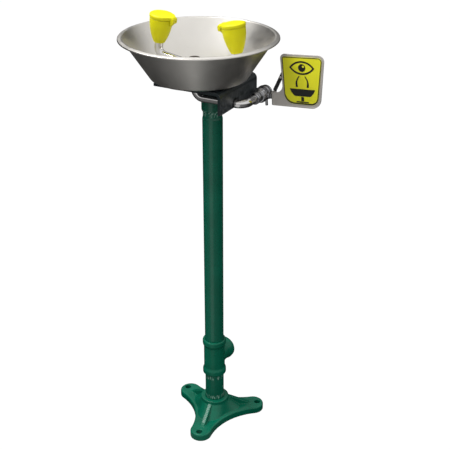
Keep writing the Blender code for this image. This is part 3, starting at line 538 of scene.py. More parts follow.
def plate(outlines, thickness, place=Matrix(), edge=0.0):
    """A flat plate about its own XY plane with softened edges. Each outline after the first is a hole."""
    curve = bpy.data.curves.new("plate", "CURVE")
    curve.dimensions = "2D"
    curve.fill_mode = "BOTH"
    curve.extrude = (thickness / 2 - edge) * MM
    curve.bevel_depth = edge * MM
    curve.bevel_resolution = 2
    curve.offset = -edge * MM
    for outline in outlines:
        spline = curve.splines.new("POLY")
        spline.points.add(len(outline) - 1)
        for point, (x, y) in zip(spline.points, outline):
            point.co = (x * MM, y * MM, 0, 1)
        spline.use_cyclic_u = True
    made = loose("plate", curve)
    made.matrix_world = Matrix.Scale(MM, 4) @ place @ Matrix.Scale(1 / MM, 4)
    return settle(made)


def rod(path, radius, resolution=10):
    curve = bpy.data.curves.new("rod", "CURVE")
    curve.dimensions = "3D"
    curve.bevel_depth = radius * MM
    curve.bevel_resolution = resolution
    curve.use_fill_caps = True
    spline = curve.splines.new("POLY")
    spline.points.add(len(path) - 1)
    for point, spot in zip(spline.points, path):
        point.co = (*(spot * MM), 1)
    return settle(loose("rod", curve))


def tube(path, radius, wall=1.5):
    """A bent tube, open at both ends."""
    first = path[0] + (path[0] - path[1]).normalized()
    last = path[-1] + (path[-1] - path[-2]).normalized()
    bore = rod([first, *path[1:-1], last], radius - wall, 5)
    return cut(rod(path, radius), bore)


def nut(across, bore, low, high, place):
    """A hexagon nut with chamfered corners: across is the distance between its flats."""
    corner_r = across / math.sqrt(3)
    middle = place @ move(z=(low + high) / 2)
    blank_nut = plate([circle(corner_r, 6), circle(bore, 40)], high - low, middle)
    drop = 1.1
    envelope = lathe((
        (0, high + 0.01), (across / 2 - 0.2, high + 0.01), (corner_r + 0.01, high - drop),
        (corner_r + 0.01, low + drop), (across / 2 - 0.2, low - 0.01), (0, low - 0.01),
    ), place, 48)
    return boolean(blank_nut, "INTERSECT", envelope)


def merge(thing, *others):
    """One object that holds all the shells, which may overlap."""
    shape = bmesh.new()
    for part in (thing, *others):
        shape.from_mesh(part.data)
        if part is not thing:
            bpy.data.objects.remove(part, do_unlink=True)
    shape.to_mesh(thing.data)
    shape.free()
    return thing


def cast(thing, voxel, rounds):
    """Fuses overlapping shells and softens them: their corners become fillets."""
    remesh = thing.modifiers.new("cast", "REMESH")
    remesh.mode = "VOXEL"
    remesh.voxel_size = voxel * MM
    soften = thing.modifiers.new("soften", "SMOOTH")
    soften.factor = 0.5
    soften.iterations = rounds
    return settle(thing)


def show(thing, name, paint, body, slot, *nodes, sharp=35, fused=False):
    """Gives a piece its name, finish and smooth shading, and ties it to the frame."""
    thing.name = thing.data.name = name
    thing.data.materials.clear()
    thing.data.materials.append(paint)
    for face in thing.data.polygons:
        face.use_smooth = True
        face.material_index = 0
    thing.data.set_sharp_from_angle(angle=math.radians(60 if fused else sharp))
    if not fused:
        shading = thing.modifiers.new("shading", "WEIGHTED_NORMAL")
        shading.keep_sharp = True
    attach(thing, body)
    if nodes:
        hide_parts(*nodes)
    return thing


def smooth_curve(points, steps=8):
    """A smooth line through (x, y) points, by Catmull-Rom."""
    points = [Vector(point) for point in points]
    ends = [points[0] * 2 - points[1], *points, points[-1] * 2 - points[-2]]
    line = []
    for a, b, c, d in zip(ends, ends[1:], ends[2:], ends[3:]):
        for i in range(steps):
            t = i / steps
            line.append(0.5 * (2 * b + (c - a) * t + (2 * a - 5 * b + 4 * c - d) * t**2
                               + (3 * b - a - 3 * c + d) * t**3))
    return [tuple(point) for point in [*line, points[-1]]]


# Floor flange, column and tee


def foot_heading(number):
    return FIRST_FOOT + math.tau * number / FOOT_COUNT


def tripod_outline(inset):
    """Feet on a circle, joined by arcs that touch them and come in to the waist."""
    foot_r, waist_r = FOOT_R - inset, FOOT_WAIST_R - inset
    reach = waist_r - foot_r
    arc_centre = (FOOT_CENTRE_R**2 - reach**2) / (FOOT_CENTRE_R - 2 * reach)
    arc_r = arc_centre - waist_r
    meet = math.atan2(arc_centre * math.sin(math.pi / FOOT_COUNT),
                      arc_centre * math.cos(math.pi / FOOT_COUNT) - FOOT_CENTRE_R)
    foot_steps, arc_steps = 32, 30
    points = []
    for foot in range(FOOT_COUNT):
        heading = foot_heading(foot)
        centre = Vector((math.cos(heading), math.sin(heading))) * FOOT_CENTRE_R
        for i in range(foot_steps + 1):
            angle = heading - meet + 2 * meet * i / foot_steps
            points.append(centre + Vector((math.cos(angle), math.sin(angle))) * foot_r)
        middle = heading + math.pi / FOOT_COUNT
        centre = Vector((math.cos(middle), math.sin(middle))) * arc_centre
        last = points[-1] - centre
        first_angle = math.atan2(last.y, last.x)
        spread = (middle + math.pi - first_angle + math.pi) % math.tau - math.pi
        for i in range(1, arc_steps):
            angle = first_angle + 2 * spread * i / arc_steps
            points.append(centre + Vector((math.cos(angle), math.sin(angle))) * arc_r)
    return points


def loft(levels):
    """A closed solid through level rings of (point, height)."""
    shape = bmesh.new()
    rings = [[shape.verts.new((x, y, height)) for x, y in points] for points, height in levels]
    for low, high in zip(rings, rings[1:]):
        for i in range(len(low)):
            k = (i + 1) % len(low)
            shape.faces.new((low[i], low[k], high[k], high[i]))
    shape.faces.new(rings[-1])
    shape.faces.new(reversed(rings[0]))
    return loose("lofted", to_mesh(shape))


def flange_plate():
    edge_r = 4.0
    outline = tripod_outline(0)
    levels = [(tripod_outline(0.4), 0), (outline, 0.8), (outline, FLANGE_TOP - edge_r)]
    for i in range(1, 6):
        angle = math.pi / 2 * i / 5
        inset = edge_r * (1 - math.cos(angle))
        levels.append((tripod_outline(inset), FLANGE_TOP - edge_r * (1 - math.sin(angle))))
    return loft(levels)


def flange_skirt():
    sides = 120
    waist_toe, rib_toe = 40.5, 60
    levels = []
    for height, waist, toe in ((FLANGE_TOP - 3, waist_toe, rib_toe), (FLANGE_TOP, waist_toe, rib_toe),
                               (HUB_SHOULDER, HUB_R, HUB_R), (HUB_TOP - 1, HUB_R, HUB_R),
                               (HUB_TOP, HUB_R - 1, HUB_R - 1)):
        points = []
        for i in range(sides):
            angle = math.tau * i / sides
            radius = waist + (toe - waist) * math.cos(FOOT_COUNT * (angle - FIRST_FOOT) / 2) ** 2
            points.append((radius * math.cos(angle), radius * math.sin(angle)))
        levels.append((points, height))
    return loft(levels)


def flange_rib(number):
    half, toe = 4.7, 82
    side = [(24, 10), (toe, 10), (toe, FLANGE_TOP + 1.5), (toe - 6, FLANGE_TOP + 5.5),
            (HUB_R, HUB_SHOULDER + 2.5), (24, HUB_SHOULDER + 2.5)]
    place = Matrix.Rotation(foot_heading(number), 4, "Z") @ turn(90, "X")
    return plate([side], 2 * half, place, 0.5)


def floor_flange():
    def socket():
        return cylinder(PIPE_R + 0.4, HUB_TOP + 2, 8, steps=96)

    holes = []
    for i in range(FOOT_COUNT):
        heading = foot_heading(i)
        place = Matrix.Rotation(heading, 4, "Z") @ move(x=ANCHOR_CIRCLE_R)
        holes.append(cylinder(ANCHOR_HOLE_R, 30, -2, place))
    shells = [cut(flange_plate(), socket(), *holes), cut(flange_skirt(), socket())]
    shells += [flange_rib(i) for i in range(FOOT_COUNT)]
    flange = cut(cast(merge(*shells), 0.9, 2), socket())
    show(flange, "floor_flange_casting", cast_green, "stand", "green_paint", "floor_flange", fused=True)


def waste_tee():
    collar, bead = 17, 5.5
    run = lathe((
        (0, TEE_TOP), (TEE_COLLAR_R - 1.2, TEE_TOP, 1), (TEE_COLLAR_R, TEE_TOP - 3, 3),
        (TEE_COLLAR_R, TEE_TOP - collar + bead, bead), (TEE_R, TEE_TOP - collar - 1, 3),
        (TEE_R, TEE_LOW + collar + 1, 3), (TEE_COLLAR_R, TEE_LOW + collar - bead, bead),
        (TEE_COLLAR_R, TEE_LOW + 2.2, 2), (TEE_COLLAR_R - 1.8, TEE_LOW, 1), (0, TEE_LOW),
    ))
    backwards = move(z=BRANCH_HEIGHT) @ turn(-90, "X")
    branch = lathe((
        (0, BRANCH_REACH), (BRANCH_COLLAR_R - 1.6, BRANCH_REACH, 1.2),
        (BRANCH_COLLAR_R, BRANCH_REACH - 2.6, 2), (BRANCH_COLLAR_R, BRANCH_REACH - collar + bead, bead),
        (BRANCH_R, BRANCH_REACH - collar - 1, 3), (BRANCH_R, 0), (0, 0),
    ), backwards)
    depth = 19
    run_bore = lathe((
        (0, TEE_TOP + 2), (PIPE_R + 0.3, TEE_TOP + 2), (PIPE_R + 0.3, TEE_TOP - depth),
        (PIPE_BORE_R, TEE_TOP - depth), (PIPE_BORE_R, TEE_LOW + depth), (PIPE_R + 0.3, TEE_LOW + depth),
        (PIPE_R + 0.3, TEE_LOW - 2), (0, TEE_LOW - 2),
    ))
    branch_bore = lathe((
        (0, BRANCH_REACH + 2), (17, BRANCH_REACH + 2), (17, BRANCH_REACH - depth),
        (13.5, BRANCH_REACH - depth), (13.5, 4), (0, 4),
    ), backwards)
    tee = cast(cut(join(run, branch), run_bore, branch_bore), 0.7, 2)
    show(tee, "waste_tee_casting", cast_green, "stand", "green_paint", "waste_tee", fused=True)


def column():
    stop = 18.7
    nipple = lathe((
        (PIPE_R, TEE_LOW + stop, 1), (PIPE_R, 8.3, 1), (PIPE_BORE_R, 8.3, 1),
        (PIPE_BORE_R, TEE_LOW + stop, 1),
    ))
    show(nipple, "base_nipple_pipe", pipe_green, "stand", "green_paint", "base_nipple")
    pipe = lathe((
        (THREAD_R, THREAD_TOP, 0.6), (THREAD_R, COLUMN_TOP + 2, 1), (PIPE_R, COLUMN_TOP - 3, 3),
        (PIPE_R, TEE_TOP - stop, 1), (PIPE_BORE_R, TEE_TOP - stop, 1), (PIPE_BORE_R, THREAD_TOP, 1),
    ))
    show(pipe, "column_tube", pipe_green, "stand", "green_paint", "column_pipe")
    coupling = lathe((
        (COUPLING_R, COUPLING_TOP, 1.2), (COUPLING_R, COUPLING_LOW + 4, 4),
        (COUPLING_R - 2.2, COUPLING_LOW, 0.6), (THREAD_R + GAP, COUPLING_LOW, 0.6),
        (THREAD_R + GAP, COUPLING_TOP, 0.6),
    ))
    show(coupling, "column_coupling", pipe_green, "stand", "green_paint", "top_coupling")


# Bowl and what holds it


def support_flange():
    low, high = (corner.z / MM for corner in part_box("support_flange"))
    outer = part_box("support_flange")[1].x / MM
    under = high - 9
    joint = COUPLING_TOP + GAP
    flange = lathe((
        (outer, high, 1.5), (outer, under, 1), (28, under, 3), (26, under - 6, 2), (26, joint, 1.5),
        (THREAD_R, joint), (THREAD_R, low, 0.5), (16.5, low, 0.5), (16.5, joint + 3.7),
        (20.8, joint + 3.7), (20.8, high, 1),
    ))
    show(flange, "support_flange_turned", pipe_green, "stand", "green_paint", "support_flange")
    for i in range(4):
        place = turn(45 + 90 * i, "Z") @ move(x=34)
        top = under - GAP
        shank_r, shank_top = 3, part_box("bracket_screw_1")[1].z / MM
        screw = lathe((
            (0, shank_top), (shank_r, shank_top, 0.5), (shank_r, top), (5.5, top, 0.3),
            (5.5, top - 4, 1.6), (4.2, top - 5, 1), (0, top - 5),
        ), place, 32)
        socket = plate([circle(2.6, 6)], 5, place @ move(z=top - 5))
        screw = cut(screw, socket)
        show(screw, f"support_screw_{i + 1}", valve_chrome, "stand", "chrome", f"bracket_screw_{i + 1}")


def mounting_bracket():
    low, high = BRACKET_LOW, BRACKET_HIGH
    thick, outer = BRACKET_THICK, 11
    inside, under = high.x - thick, high.z - thick
    section = rounded((
        (low.x, high.z), (high.x, high.z, outer), (high.x, low.z), (inside, low.z),
        (inside, under, outer - thick), (low.x, under),
    ), steps=12)
    middle = move(y=(low.y + high.y) / 2)
    bracket = plate([section], high.y - low.y, upright(middle), 0.7)
    above, below = high.z + 2, under - 2
    notch_r = 11
    notch = [(-notch_r, low.z - RUN_Z - 2), (notch_r, low.z - RUN_Z - 2)]
    notch += arc_points((0, 0), notch_r, 0, 180, 24)
    facing = turn(90, "Z") @ turn(90, "X")
    place = move(inside + thick / 2, HEAD_Y, RUN_Z) @ facing
    bracket = cut(bracket, cylinder(21.5, above, below, steps=96),
                  cylinder(9.4, above, below, move(RISER_X, HEAD_Y)),
                  plate([notch], 4 * thick, place))
    show(bracket, "mounting_bracket_bent", slate, "stand", "dark_paint", "mounting_bracket", sharp=30)


def bowl():
    """Spun from one sheet: a flat floor, a cone, and a lip that droops to a turned-down edge."""
    wall, low, rim = BOWL_WALL, BOWL_LOW, BOWL_RIM
    crest_r, droop, hem = BOWL_NECK_R + 2, 2.2, 4.8
    edge, foot = BOWL_RIM_R, BOWL_FLOOR_R
    shell = lathe((
        (0, low + wall), (foot - 0.6, low + wall, 8), (BOWL_NECK_R - 0.6, rim - 0.9, 1.6),
        (crest_r, rim, 2.5), (edge - 0.5, rim - droop, 1.6), (edge, rim - hem, 0.4),
        (edge - wall, rim - hem, 0.4), (edge - wall - 0.5, rim - droop - wall, 0.8),
        (crest_r, rim - wall, 2.5), (BOWL_NECK_R + 0.3, rim - wall - 0.9, 1.6), (foot, low, 9.2),
        (0, low),
    ), move(y=BOWL_Y), 180)
    shell = cut(shell, cylinder(21.5, low + 4, low - 4, steps=96),
                cylinder(9.2, low + 4, low - 4, move(RISER_X, HEAD_Y)))
    show(shell, "bowl_spun", bowl_steel, "stand", "stainless", "bowl", sharp=50)


def drain():
    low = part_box("drain_body")[0].z / MM
    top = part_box("drain_body")[1].z / MM
    body = lathe((
        (30, top - 0.4, 1.5), (30, top - 3, 0.3), (20.5, top - 3), (20.5, low, 0.5), (16.2, low, 0.5),
        (16.2, top - 2, 1), (26, top - 1, 0.3), (26, top, 0.4),
    ))
    show(body, "drain_flange", chrome, "stand", "chrome", "drain_body")
    strainer = lathe((
        (0, top + 2), (20, top + 1.2, 10), (25.5, top + 0.3, 0.3), (25.5, top - 0.7, 0.3),
        (0, top - 0.7),
    ))
    holes = []
    for ring_r, count in ((8, 4), (16, 8)):
        for i in range(count):
            place = turn(360 * i / count, "Z") @ move(x=ring_r)
            holes.append(cylinder(2, top + 5, top - 3, place, 20))
    strainer = cut(strainer, *holes)
    show(strainer, "drain_strainer_plate", drain_steel, "stand", "stainless", "drain_strainer")


# Supply tube, yoke and arms


def supply():
    path = rounded_path((
        (RISER_X, HEAD_Y, YOKE_Z - 4), (RISER_X, HEAD_Y, RUN_Z), (VALVE_CENTRE.x, HEAD_Y, RUN_Z),
        (VALVE_CENTRE.x, VALVE_CENTRE.y - 16, RUN_Z),
    ), RUN_BEND_R)
    show(tube(path, TUBE_R), "supply_pipe", chrome, "stand", "chrome", "supply_tube")
    riser = move(RISER_X, HEAD_Y)
    for node, across in (("riser_locknut", 24), ("riser_top_nut", 22)):
        low, high = (corner.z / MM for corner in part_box(node))
        made = nut(across, TUBE_R + 0.35, low, high, riser)
        show(made, f"{node}_hex", valve_chrome, "stand", "chrome", node)


def arms():
    for side, word in ((-1, "left"), (1, "right")):
        start = yoke_centre() + arm_heading(side) * 12
        corner = arm_corner(side)
        up = (head_frame(side).to_3x3() @ Vector((0, 0, 1))).normalized()
        path = rounded_path((start, corner, corner + up * (CUP_FOOT + 7.5)), ARM_BEND_R)
        show(tube(path, TUBE_R), f"arm_pipe_{word}", chrome, "stand", "chrome", f"arm_{word}")


def yoke():
    riser = Matrix.Translation(yoke_centre())
    body = lathe(((0, 12), (10.8, 12, 1.2), (11.5, 10, 1), (11.5, -14, 1.2), (0, -14)), riser, 64)
    reach, bore = 24, TUBE_R + 0.35
    headings = [arm_heading(side).to_track_quat("Z", "Y") for side in (-1, 1)]
    sockets = [riser @ heading.to_matrix().to_4x4() for heading in headings]
    for outward in sockets:
        profile = ((0, reach), (10.4, reach, 1), (10.4, reach - 4, 0.3), (9.9, reach - 4.4, 0.3),
                   (9.9, reach - 5.2, 0.3), (10.4, reach - 5.6, 0.3), (10.4, 0), (0, 0))
        body = join(body, lathe(profile, outward, 64))
    cutters = [cylinder(bore, reach + 1, 11, outward) for outward in sockets]
    cutters += [cylinder(bore, -3.5, -15, riser), cylinder(6, 13, 3, riser)]
    show(cut(body, *cutters), "yoke_fitting", valve_chrome, "stand", "chrome", "yoke_tee")
    plug = lathe((
        (0, 16.5), (10.4, 16.5, 1.4), (11.4, 15.2, 0.8), (11.4, 12.3, 0.5), (5.7, 12.3), (5.7, 4),
        (0, 4),
    ), riser, 64)
    slot = plate([[(-10, -0.9), (10, -0.9), (10, 0.9), (-10, 0.9)]], 3, riser @ move(z=17))
    show(cut(plug, slot), "yoke_plug_turned", old_brass, "stand", "brass", "yoke_plug")


# Spray heads


def spray_head(side, word):
    place = head_frame(side)
    pin = (HINGE_R, HINGE_HEIGHT)
    outer = smooth_curve(((23, 48), (21.7, 33), (18.2, 18), (14.2, 7), (12.0, 2.2)))
    wall = 2
    inner = [(radius - wall, height) for radius, height in reversed(outer) if height > 9]
    profile = [*outer, (10.8, 0, 1), (8.95, 0, 0.4), (8.95, 9), *inner]
    cup = lathe(profile, place, 96)
    lug = [(20.6, 33), (24.0, 37.5), *arc_points(pin, 3, -50, 92), (22.3, 47.4), (21.4, 47.4)]
    lug = plate([lug], 7.4, upright(place), 0.5)
    cup = cast(merge(cup, lug), 0.5, 3)
    hinge = place @ move(x=HINGE_R, z=HINGE_HEIGHT) @ turn(90, "X")
    cup = cut(cup, cylinder(PIN_HOLE_R, 20, -20, hinge, 24))
    show(cup, f"spray_cup_{word}", yellow, "stand", "yellow_plastic", f"head_cup_{word}", fused=True)
    disc = lathe((
        (0, 40.5), (14, 40, 4), (18.8, 39, 0.6), (18.8, 37.3, 0.3), (0, 37.3),
    ), place, 64)
    holes = []
    for i in range(6):
        spot = place @ turn(60 * i, "Z") @ move(x=9)
        holes.append(cylinder(1.8, 43, 36, spot, 20))
    show(cut(disc, *holes), f"spray_disc_{word}", white, "stand", "white_plastic", f"flow_disc_{word}")
    spray_lid(word, place, hinge, pin)


def spray_lid(word, place, hinge, pin):
    """A shallow cap whose hinge side runs out into a rounded beak over two knuckles."""
    top, low, outer, wall = 58.5, 48.3, 23.8, 2.4
    lid = lathe((
        (0, top), (13, top - 0.3, 12), (21.2, top - 1.2, 5), (outer, top - 3.4, 1.6),
        (outer, low + 2.4, 0.4), (outer - 0.8, low + 1.8, 0.3), (outer - 0.8, low, 0.3),
        (outer - wall, low, 0.3), (outer - wall, top - 4, 1), (20, top - 3, 2), (0, top - 2.4),
    ), place, 96)
    beak = [(19.0, 51.0), (22.5, 50.0), *arc_points(pin, 3.9, 130, 44), (31.0, 49.6), (30.2, 53.0),
            (27.2, 56.0), (22.0, 57.3), (19.0, 57.0)]
    web = [(6, 20.5), (15, 18.3), (21, 14.5), (26, 7.2)]
    web += [(x, -y) for x, y in reversed(web)]
    shells = [plate([beak], 14.4, upright(place), 0.2),
              plate([web], 5.2, place @ move(z=53.9), 0.8)]
    for sign in (-1, 1):
        knuckle = [*arc_points(pin, 3.2, 165, 375), (30.6, 52), (28.0, 55.0), (21.5, 56), (22.4, 49.4)]
        shells.append(plate([knuckle], 4.0, upright(place @ move(y=sign * 6.2)), 0.4))
    lid = cast(merge(lid, *shells), 0.5, 8)
    lug_room, pin_half = 3.9, 7.4
    lid = cut(lid, cylinder(3.55, lug_room, -lug_room, hinge, 40),
              cylinder(PIN_HOLE_R, pin_half + 0.2, -pin_half - 0.2, hinge, 24))
    ride = f"lid_{word}"
    show(lid, f"spray_lid_{word}", yellow, ride, "yellow_plastic", f"head_lid_{word}", fused=True)
    hinge_pin = cylinder(PIN_R, pin_half, -pin_half, hinge, 24)
    show(hinge_pin, f"lid_pin_{word}", valve_chrome, ride, "chrome", f"lid_hinge_pin_{word}")


# Valve and push flag


def ball_valve():
    flow = valve_frame()
    body = lathe((
        (0, 11.3), (15, 11.3, 0.6), (15.5, 9.6, 0.5), (15.5, 6.2, 0.5), (14.2, 5.4, 0.5),
        (14.2, -5.4, 0.5), (15.5, -6.2, 0.5), (15.5, -9.4, 0.8), (12.9, -14.5, 2), (11, -15, 0.6),
        (11, -17.2, 0.4), (10.3, -17.8, 0.3), (10.3, -19, 0.3), (11, -19.6, 0.4), (11, -25, 0.8),
        (0, -25),
    ), flow, 72)
    boss = lathe(((0, 19), (8, 19, 1), (8, 13, 1), (8.6, 6), (0, 6)), stem_frame(), 48)
    body = join(body, boss)
    bore = lathe((
        (0, 12.3), (11.2, 12.3), (11.2, -11), (6.4, -11), (6.4, -15), (8.9, -15), (8.9, -26), (0, -26),
    ), flow, 48)
    stem_hole = cylinder(STEM_HOLE_R, 20, 5, stem_frame(), 32)
    stop_place = flag_frame() @ move(x=9.5)
    stop_hole = cylinder(3, -9, -20, stop_place, 24)
    body = cut(body, bore, stem_hole, stop_hole)
    show(body, "valve_casing", valve_chrome, "stand", "chrome", "valve_body")
    stop = lathe(((0, -9.3), (2.7, -9.3), (2.7, -22, 0.8), (0, -23)), stop_place, 32)
    show(stop, "valve_stop_post", valve_chrome, "stand", "chrome", "valve_stop_pin")
    collar = lathe((
        (11.2, -25.3, 0.5), (12, -26.4, 0.4), (12, -28.4, 0.4), (11.2, -29, 0.3), (11.2, -30, 0.3),
        (12, -30.6, 0.4), (12, -34, 0.8), (10.8, -35, 0.5), (8.9, -35, 0.3), (8.9, -25.3, 0.3),
    ), flow, 72)
    show(collar, "tube_nut", valve_chrome, "stand", "chrome", "outlet_nut")
    cap = lathe((
        (13.2, 20, 0.8), (14, 18.6, 0.5), (14, 16.8, 0.4), (13.1, 16.2, 0.3), (13.1, 15.2, 0.3),
        (14, 14.6, 0.4), (14, 11.6, 0.5), (10.9, 11.6), (10.9, 10.9), (6.4, 10.9), (6.4, 11.6),
        (8.5, 11.6), (8.5, 20, 0.6),
    ), flow, 72)
    show(cap, "valve_cap_threaded", valve_chrome, "stand", "chrome", "valve_end_cap")


def stem_and_nuts():
    place = stem_frame()
    gland = nut(14, STEM_HOLE_R, 19.3, 24, place)
    show(gland, "gland_nut_hex", valve_chrome, "stand", "chrome", "stem_gland_nut")
    far = FLAG_TAB_X + FLAG_THICK
    lock = nut(12, STEM_HOLE_R, far + GAP, far + 5, place)
    show(lock, "flag_nut_hex", valve_chrome, "push_flag", "chrome", "handle_nut")
    low, high = 10.8, far + 7
    stem = lathe(((0, high), (STEM_R, high, 1), (STEM_R, low, 0.3), (0, low)), place, 40)
    show(stem, "valve_spindle", valve_chrome, "push_flag", "chrome", "valve_stem")


def flag_outline(inset=0.0):
    """The part of the flag that carries the sign, in the flag's own X and Z."""
    low, left = FLAG_TAB_LOW, 50.6
    return (
        (left + inset, low + 1.6 * inset, 20), (129 - inset, low + 1.6 * inset, 20 - inset),
        (139.5 - inset, 87.6 - inset, 12 - inset), (47.3 + inset, 86.6 - inset, 9 - inset),
    )


def bend_tab(thing, bend_x):
    """Bends the flat plate back through a right angle at bend_x. The plate lies in X and Y."""
    inner = BEND_INNER_R
    outer, neutral = inner + FLAG_THICK, inner + FLAG_THICK / 2
    arc = math.pi / 2 * neutral
    shape = bmesh.new()
    shape.from_mesh(thing.data)
    steps = 12
    for i in range(steps + 1):
        spot = ((bend_x - arc * i / steps) * MM, 0, 0)
        everything = [*shape.verts, *shape.edges, *shape.faces]
        bmesh.ops.bisect_plane(shape, geom=everything, plane_co=spot, plane_no=(1, 0, 0), dist=1e-7)
    for point in shape.verts:
        along = bend_x - point.co.x / MM
        if along <= 0:
            continue
        reach = outer - (FLAG_THICK / 2 - point.co.z / MM)
        angle = min(along / neutral, math.pi / 2)
        straight = max(along - arc, 0)
        point.co.x = (bend_x - reach * math.sin(angle)) * MM
        point.co.z = (reach * math.cos(angle) - outer + FLAG_THICK / 2 - straight) * MM
    shape.to_mesh(thing.data)
    shape.free()
    return thing


def flag_handle():
    """A plate with a tab that is bent back round the stem."""
    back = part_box("flag_handle")[1].y / MM - VALVE_CENTRE.y
    bend_x = FLAG_TAB_X + BEND_INNER_R + FLAG_THICK
    arc = math.pi / 2 * (BEND_INNER_R + FLAG_THICK / 2)
    tab_x = bend_x - arc
    straight = back - (FLAG_FRONT + BEND_INNER_R + FLAG_THICK)
    low_right, top_right, top_left = flag_outline()[1:]
    outline = rounded((
        (tab_x - straight, FLAG_TAB_LOW, 2), low_right, top_right, top_left, (51, FLAG_TAB_TOP, 15),
        (tab_x - straight, FLAG_TAB_TOP, 2),
    ), steps=14)
    stem_x = tab_x - (straight - back)
    lean = math.radians(BRACE_LEAN)
    holes = [circle(STEM_HOLE_R, 40, (stem_x, 0))]
    for along in RIVET_PLACES:
        centre = (BRACE_FOOT.x + along * math.sin(lean), BRACE_FOOT.z + along * math.cos(lean))
        holes.append(circle(2.3, 24, centre))
    handle = plate([outline, *holes], FLAG_THICK, edge=0.4)
    handle = bend_tab(handle, bend_x)
    middle = upright(flag_frame() @ move(y=FLAG_FRONT + FLAG_THICK / 2))
    handle.matrix_world = Matrix.Scale(MM, 4) @ middle @ Matrix.Scale(1 / MM, 4)
    show(settle(handle), "flag_plate", flag_plate, "push_flag", "flag_steel", "flag_handle", sharp=40)


def brace_frame(along):
    foot = flag_frame() @ Matrix.Translation(BRACE_FOOT) @ turn(BRACE_LEAN, "Y")
    return foot @ move(z=along) @ turn(-90, "X")


def flag_brace():
    front = FLAG_FRONT + FLAG_THICK + GAP
    half = BRACE_WIDTH / 2
    outline = rounded(((-half, 0, 1), (half, 0, 1), (half, BRACE_LENGTH, half * 0.98),
                       (-half, BRACE_LENGTH, half * 0.98)), steps=10)
    place = flag_frame() @ Matrix.Translation(BRACE_FOOT) @ turn(BRACE_LEAN, "Y")
    holes = [circle(RIVET_R + GAP, 24, (0, along)) for along in RIVET_PLACES]
    middle = upright(place @ move(y=front + BRACE_THICK / 2))
    brace = plate([outline, *holes], BRACE_THICK, middle, 0.3)
    show(brace, "flag_brace_bar", bar_black, "push_flag", "dark_paint", "flag_brace", sharp=30)
    back = front + BRACE_THICK + GAP
    for i, along in enumerate(RIVET_PLACES):
        rivet = lathe((
            (0, back + 1.5), (2.6, back + 1.3, 1.2), (3.6, back, 0.2), (RIVET_R, back),
            (RIVET_R, FLAG_FRONT + GAP), (0, FLAG_FRONT + GAP),
        ), brace_frame(along), 32)
        node = f"brace_rivet_{i + 1}"
        show(rivet, f"brace_rivet_head_{i + 1}", valve_chrome, "push_flag", "chrome", node)


def on_sign(depth):
    """The sign's own plane: X across the flag, Y up it, facing the user."""
    return upright(flag_frame() @ move(y=FLAG_FRONT - GAP - SIGN_THICK - depth))


def almond(centre, width, height):
    """The outline of an open eye: two arcs that meet at its corners."""
    half_width, half_height = width / 2, height / 2
    radius = (half_width**2 + half_height**2) / (2 * half_height)
    spread = math.degrees(math.asin(half_width / radius))
    x, y = centre
    upper = arc_points((x, y + half_height - radius), radius, 90 + spread, 90 - spread, 20)
    lower = arc_points((x, y - half_height + radius), radius, -90 + spread, -90 - spread, 20)
    return upper[:-1] + lower[:-1]


def jet(base, tip, lean, width):
    """A curved jet of water that narrows to its tip."""
    left, right = [], []
    steps = 12
    for i in range(steps + 1):
        t = i / steps
        x = base[0] + (tip[0] - base[0]) * t + lean * math.sin(math.pi * t)
        y = base[1] + (tip[1] - base[1]) * t
        half = width / 2 * (1 - 0.45 * t)
        left.append((x - half, y))
        right.append((x + half, y))
    return left + right[::-1]


def push_sign():
    outline = rounded(flag_outline(SIGN_MARGIN), steps=12)
    middle = upright(flag_frame() @ move(y=FLAG_FRONT - GAP - SIGN_THICK / 2))
    panel = plate([outline], SIGN_THICK, middle, 0.2)
    show(panel, "sign_panel", sign_face, "push_flag", "sign_yellow", "push_sign", sharp=30)
    film = 0.08
    place = on_sign(film / 2)
    ring = 1.7
    border = plate([rounded(flag_outline(SIGN_MARGIN + 0.25), steps=12),
                              rounded(flag_outline(SIGN_MARGIN + 0.25 + ring), steps=12)], film, place)
    show(border, "sign_border", ink, "push_flag", "sign_yellow")
    eye = (93, 62)
    basin = ((66, 20.5, 1), (70, 13, 3), (76, 6, 7), (110, 6, 7), (116, 13, 3), (120, 20.5, 1))
    marks = {
        "eye": [almond(eye, 52, 27), almond(eye, 43, 20)],
        "iris": [circle(7.6, 40, eye), circle(2.2, 20, (eye[0] + 2.6, eye[1] + 2.6))],
        "jet_left": [jet((82, 24), (87, 46), -3.0, 4.4)],
        "jet_right": [jet((104, 24), (99, 46), 3.0, 4.4)],
        "basin": [rounded(basin)],
        "basin_stem": [rounded(((90, 5), (96, 5), (96, -3.5), (90, -3.5)))],
        "basin_foot": [rounded(((80, -4, 1), (106, -4, 1), (106, -6.6, 1), (80, -6.6, 1)))],
    }
    for name, outlines in marks.items():
        show(plate(outlines, film, place), f"sign_{name}", ink, "push_flag", "sign_yellow")


# Nodes that stay as the CAD made them, hidden inside or under the rest


def dress_hidden_nodes():
    finishes = {
        "bowl_pad": black_rubber, "drain_gasket": black_rubber, "riser_washer": black_rubber,
        "waste_tailpiece": chrome, "valve_ball": chrome,
        "valve_seat_front": white, "valve_seat_rear": white,
        "spray_insert_left": white, "spray_insert_right": white,
    }
    for node, paint in finishes.items():
        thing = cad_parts[node]
        thing.data.materials.clear()
        thing.data.materials.append(paint)


# Studio


def ease(tree, value, low, high, bottom=0.0, top=1.0):
    """Rises smoothly from bottom to top as the value goes from low to high."""
    return between(tree, value, bottom, top, low, high, "SMOOTHSTEP")


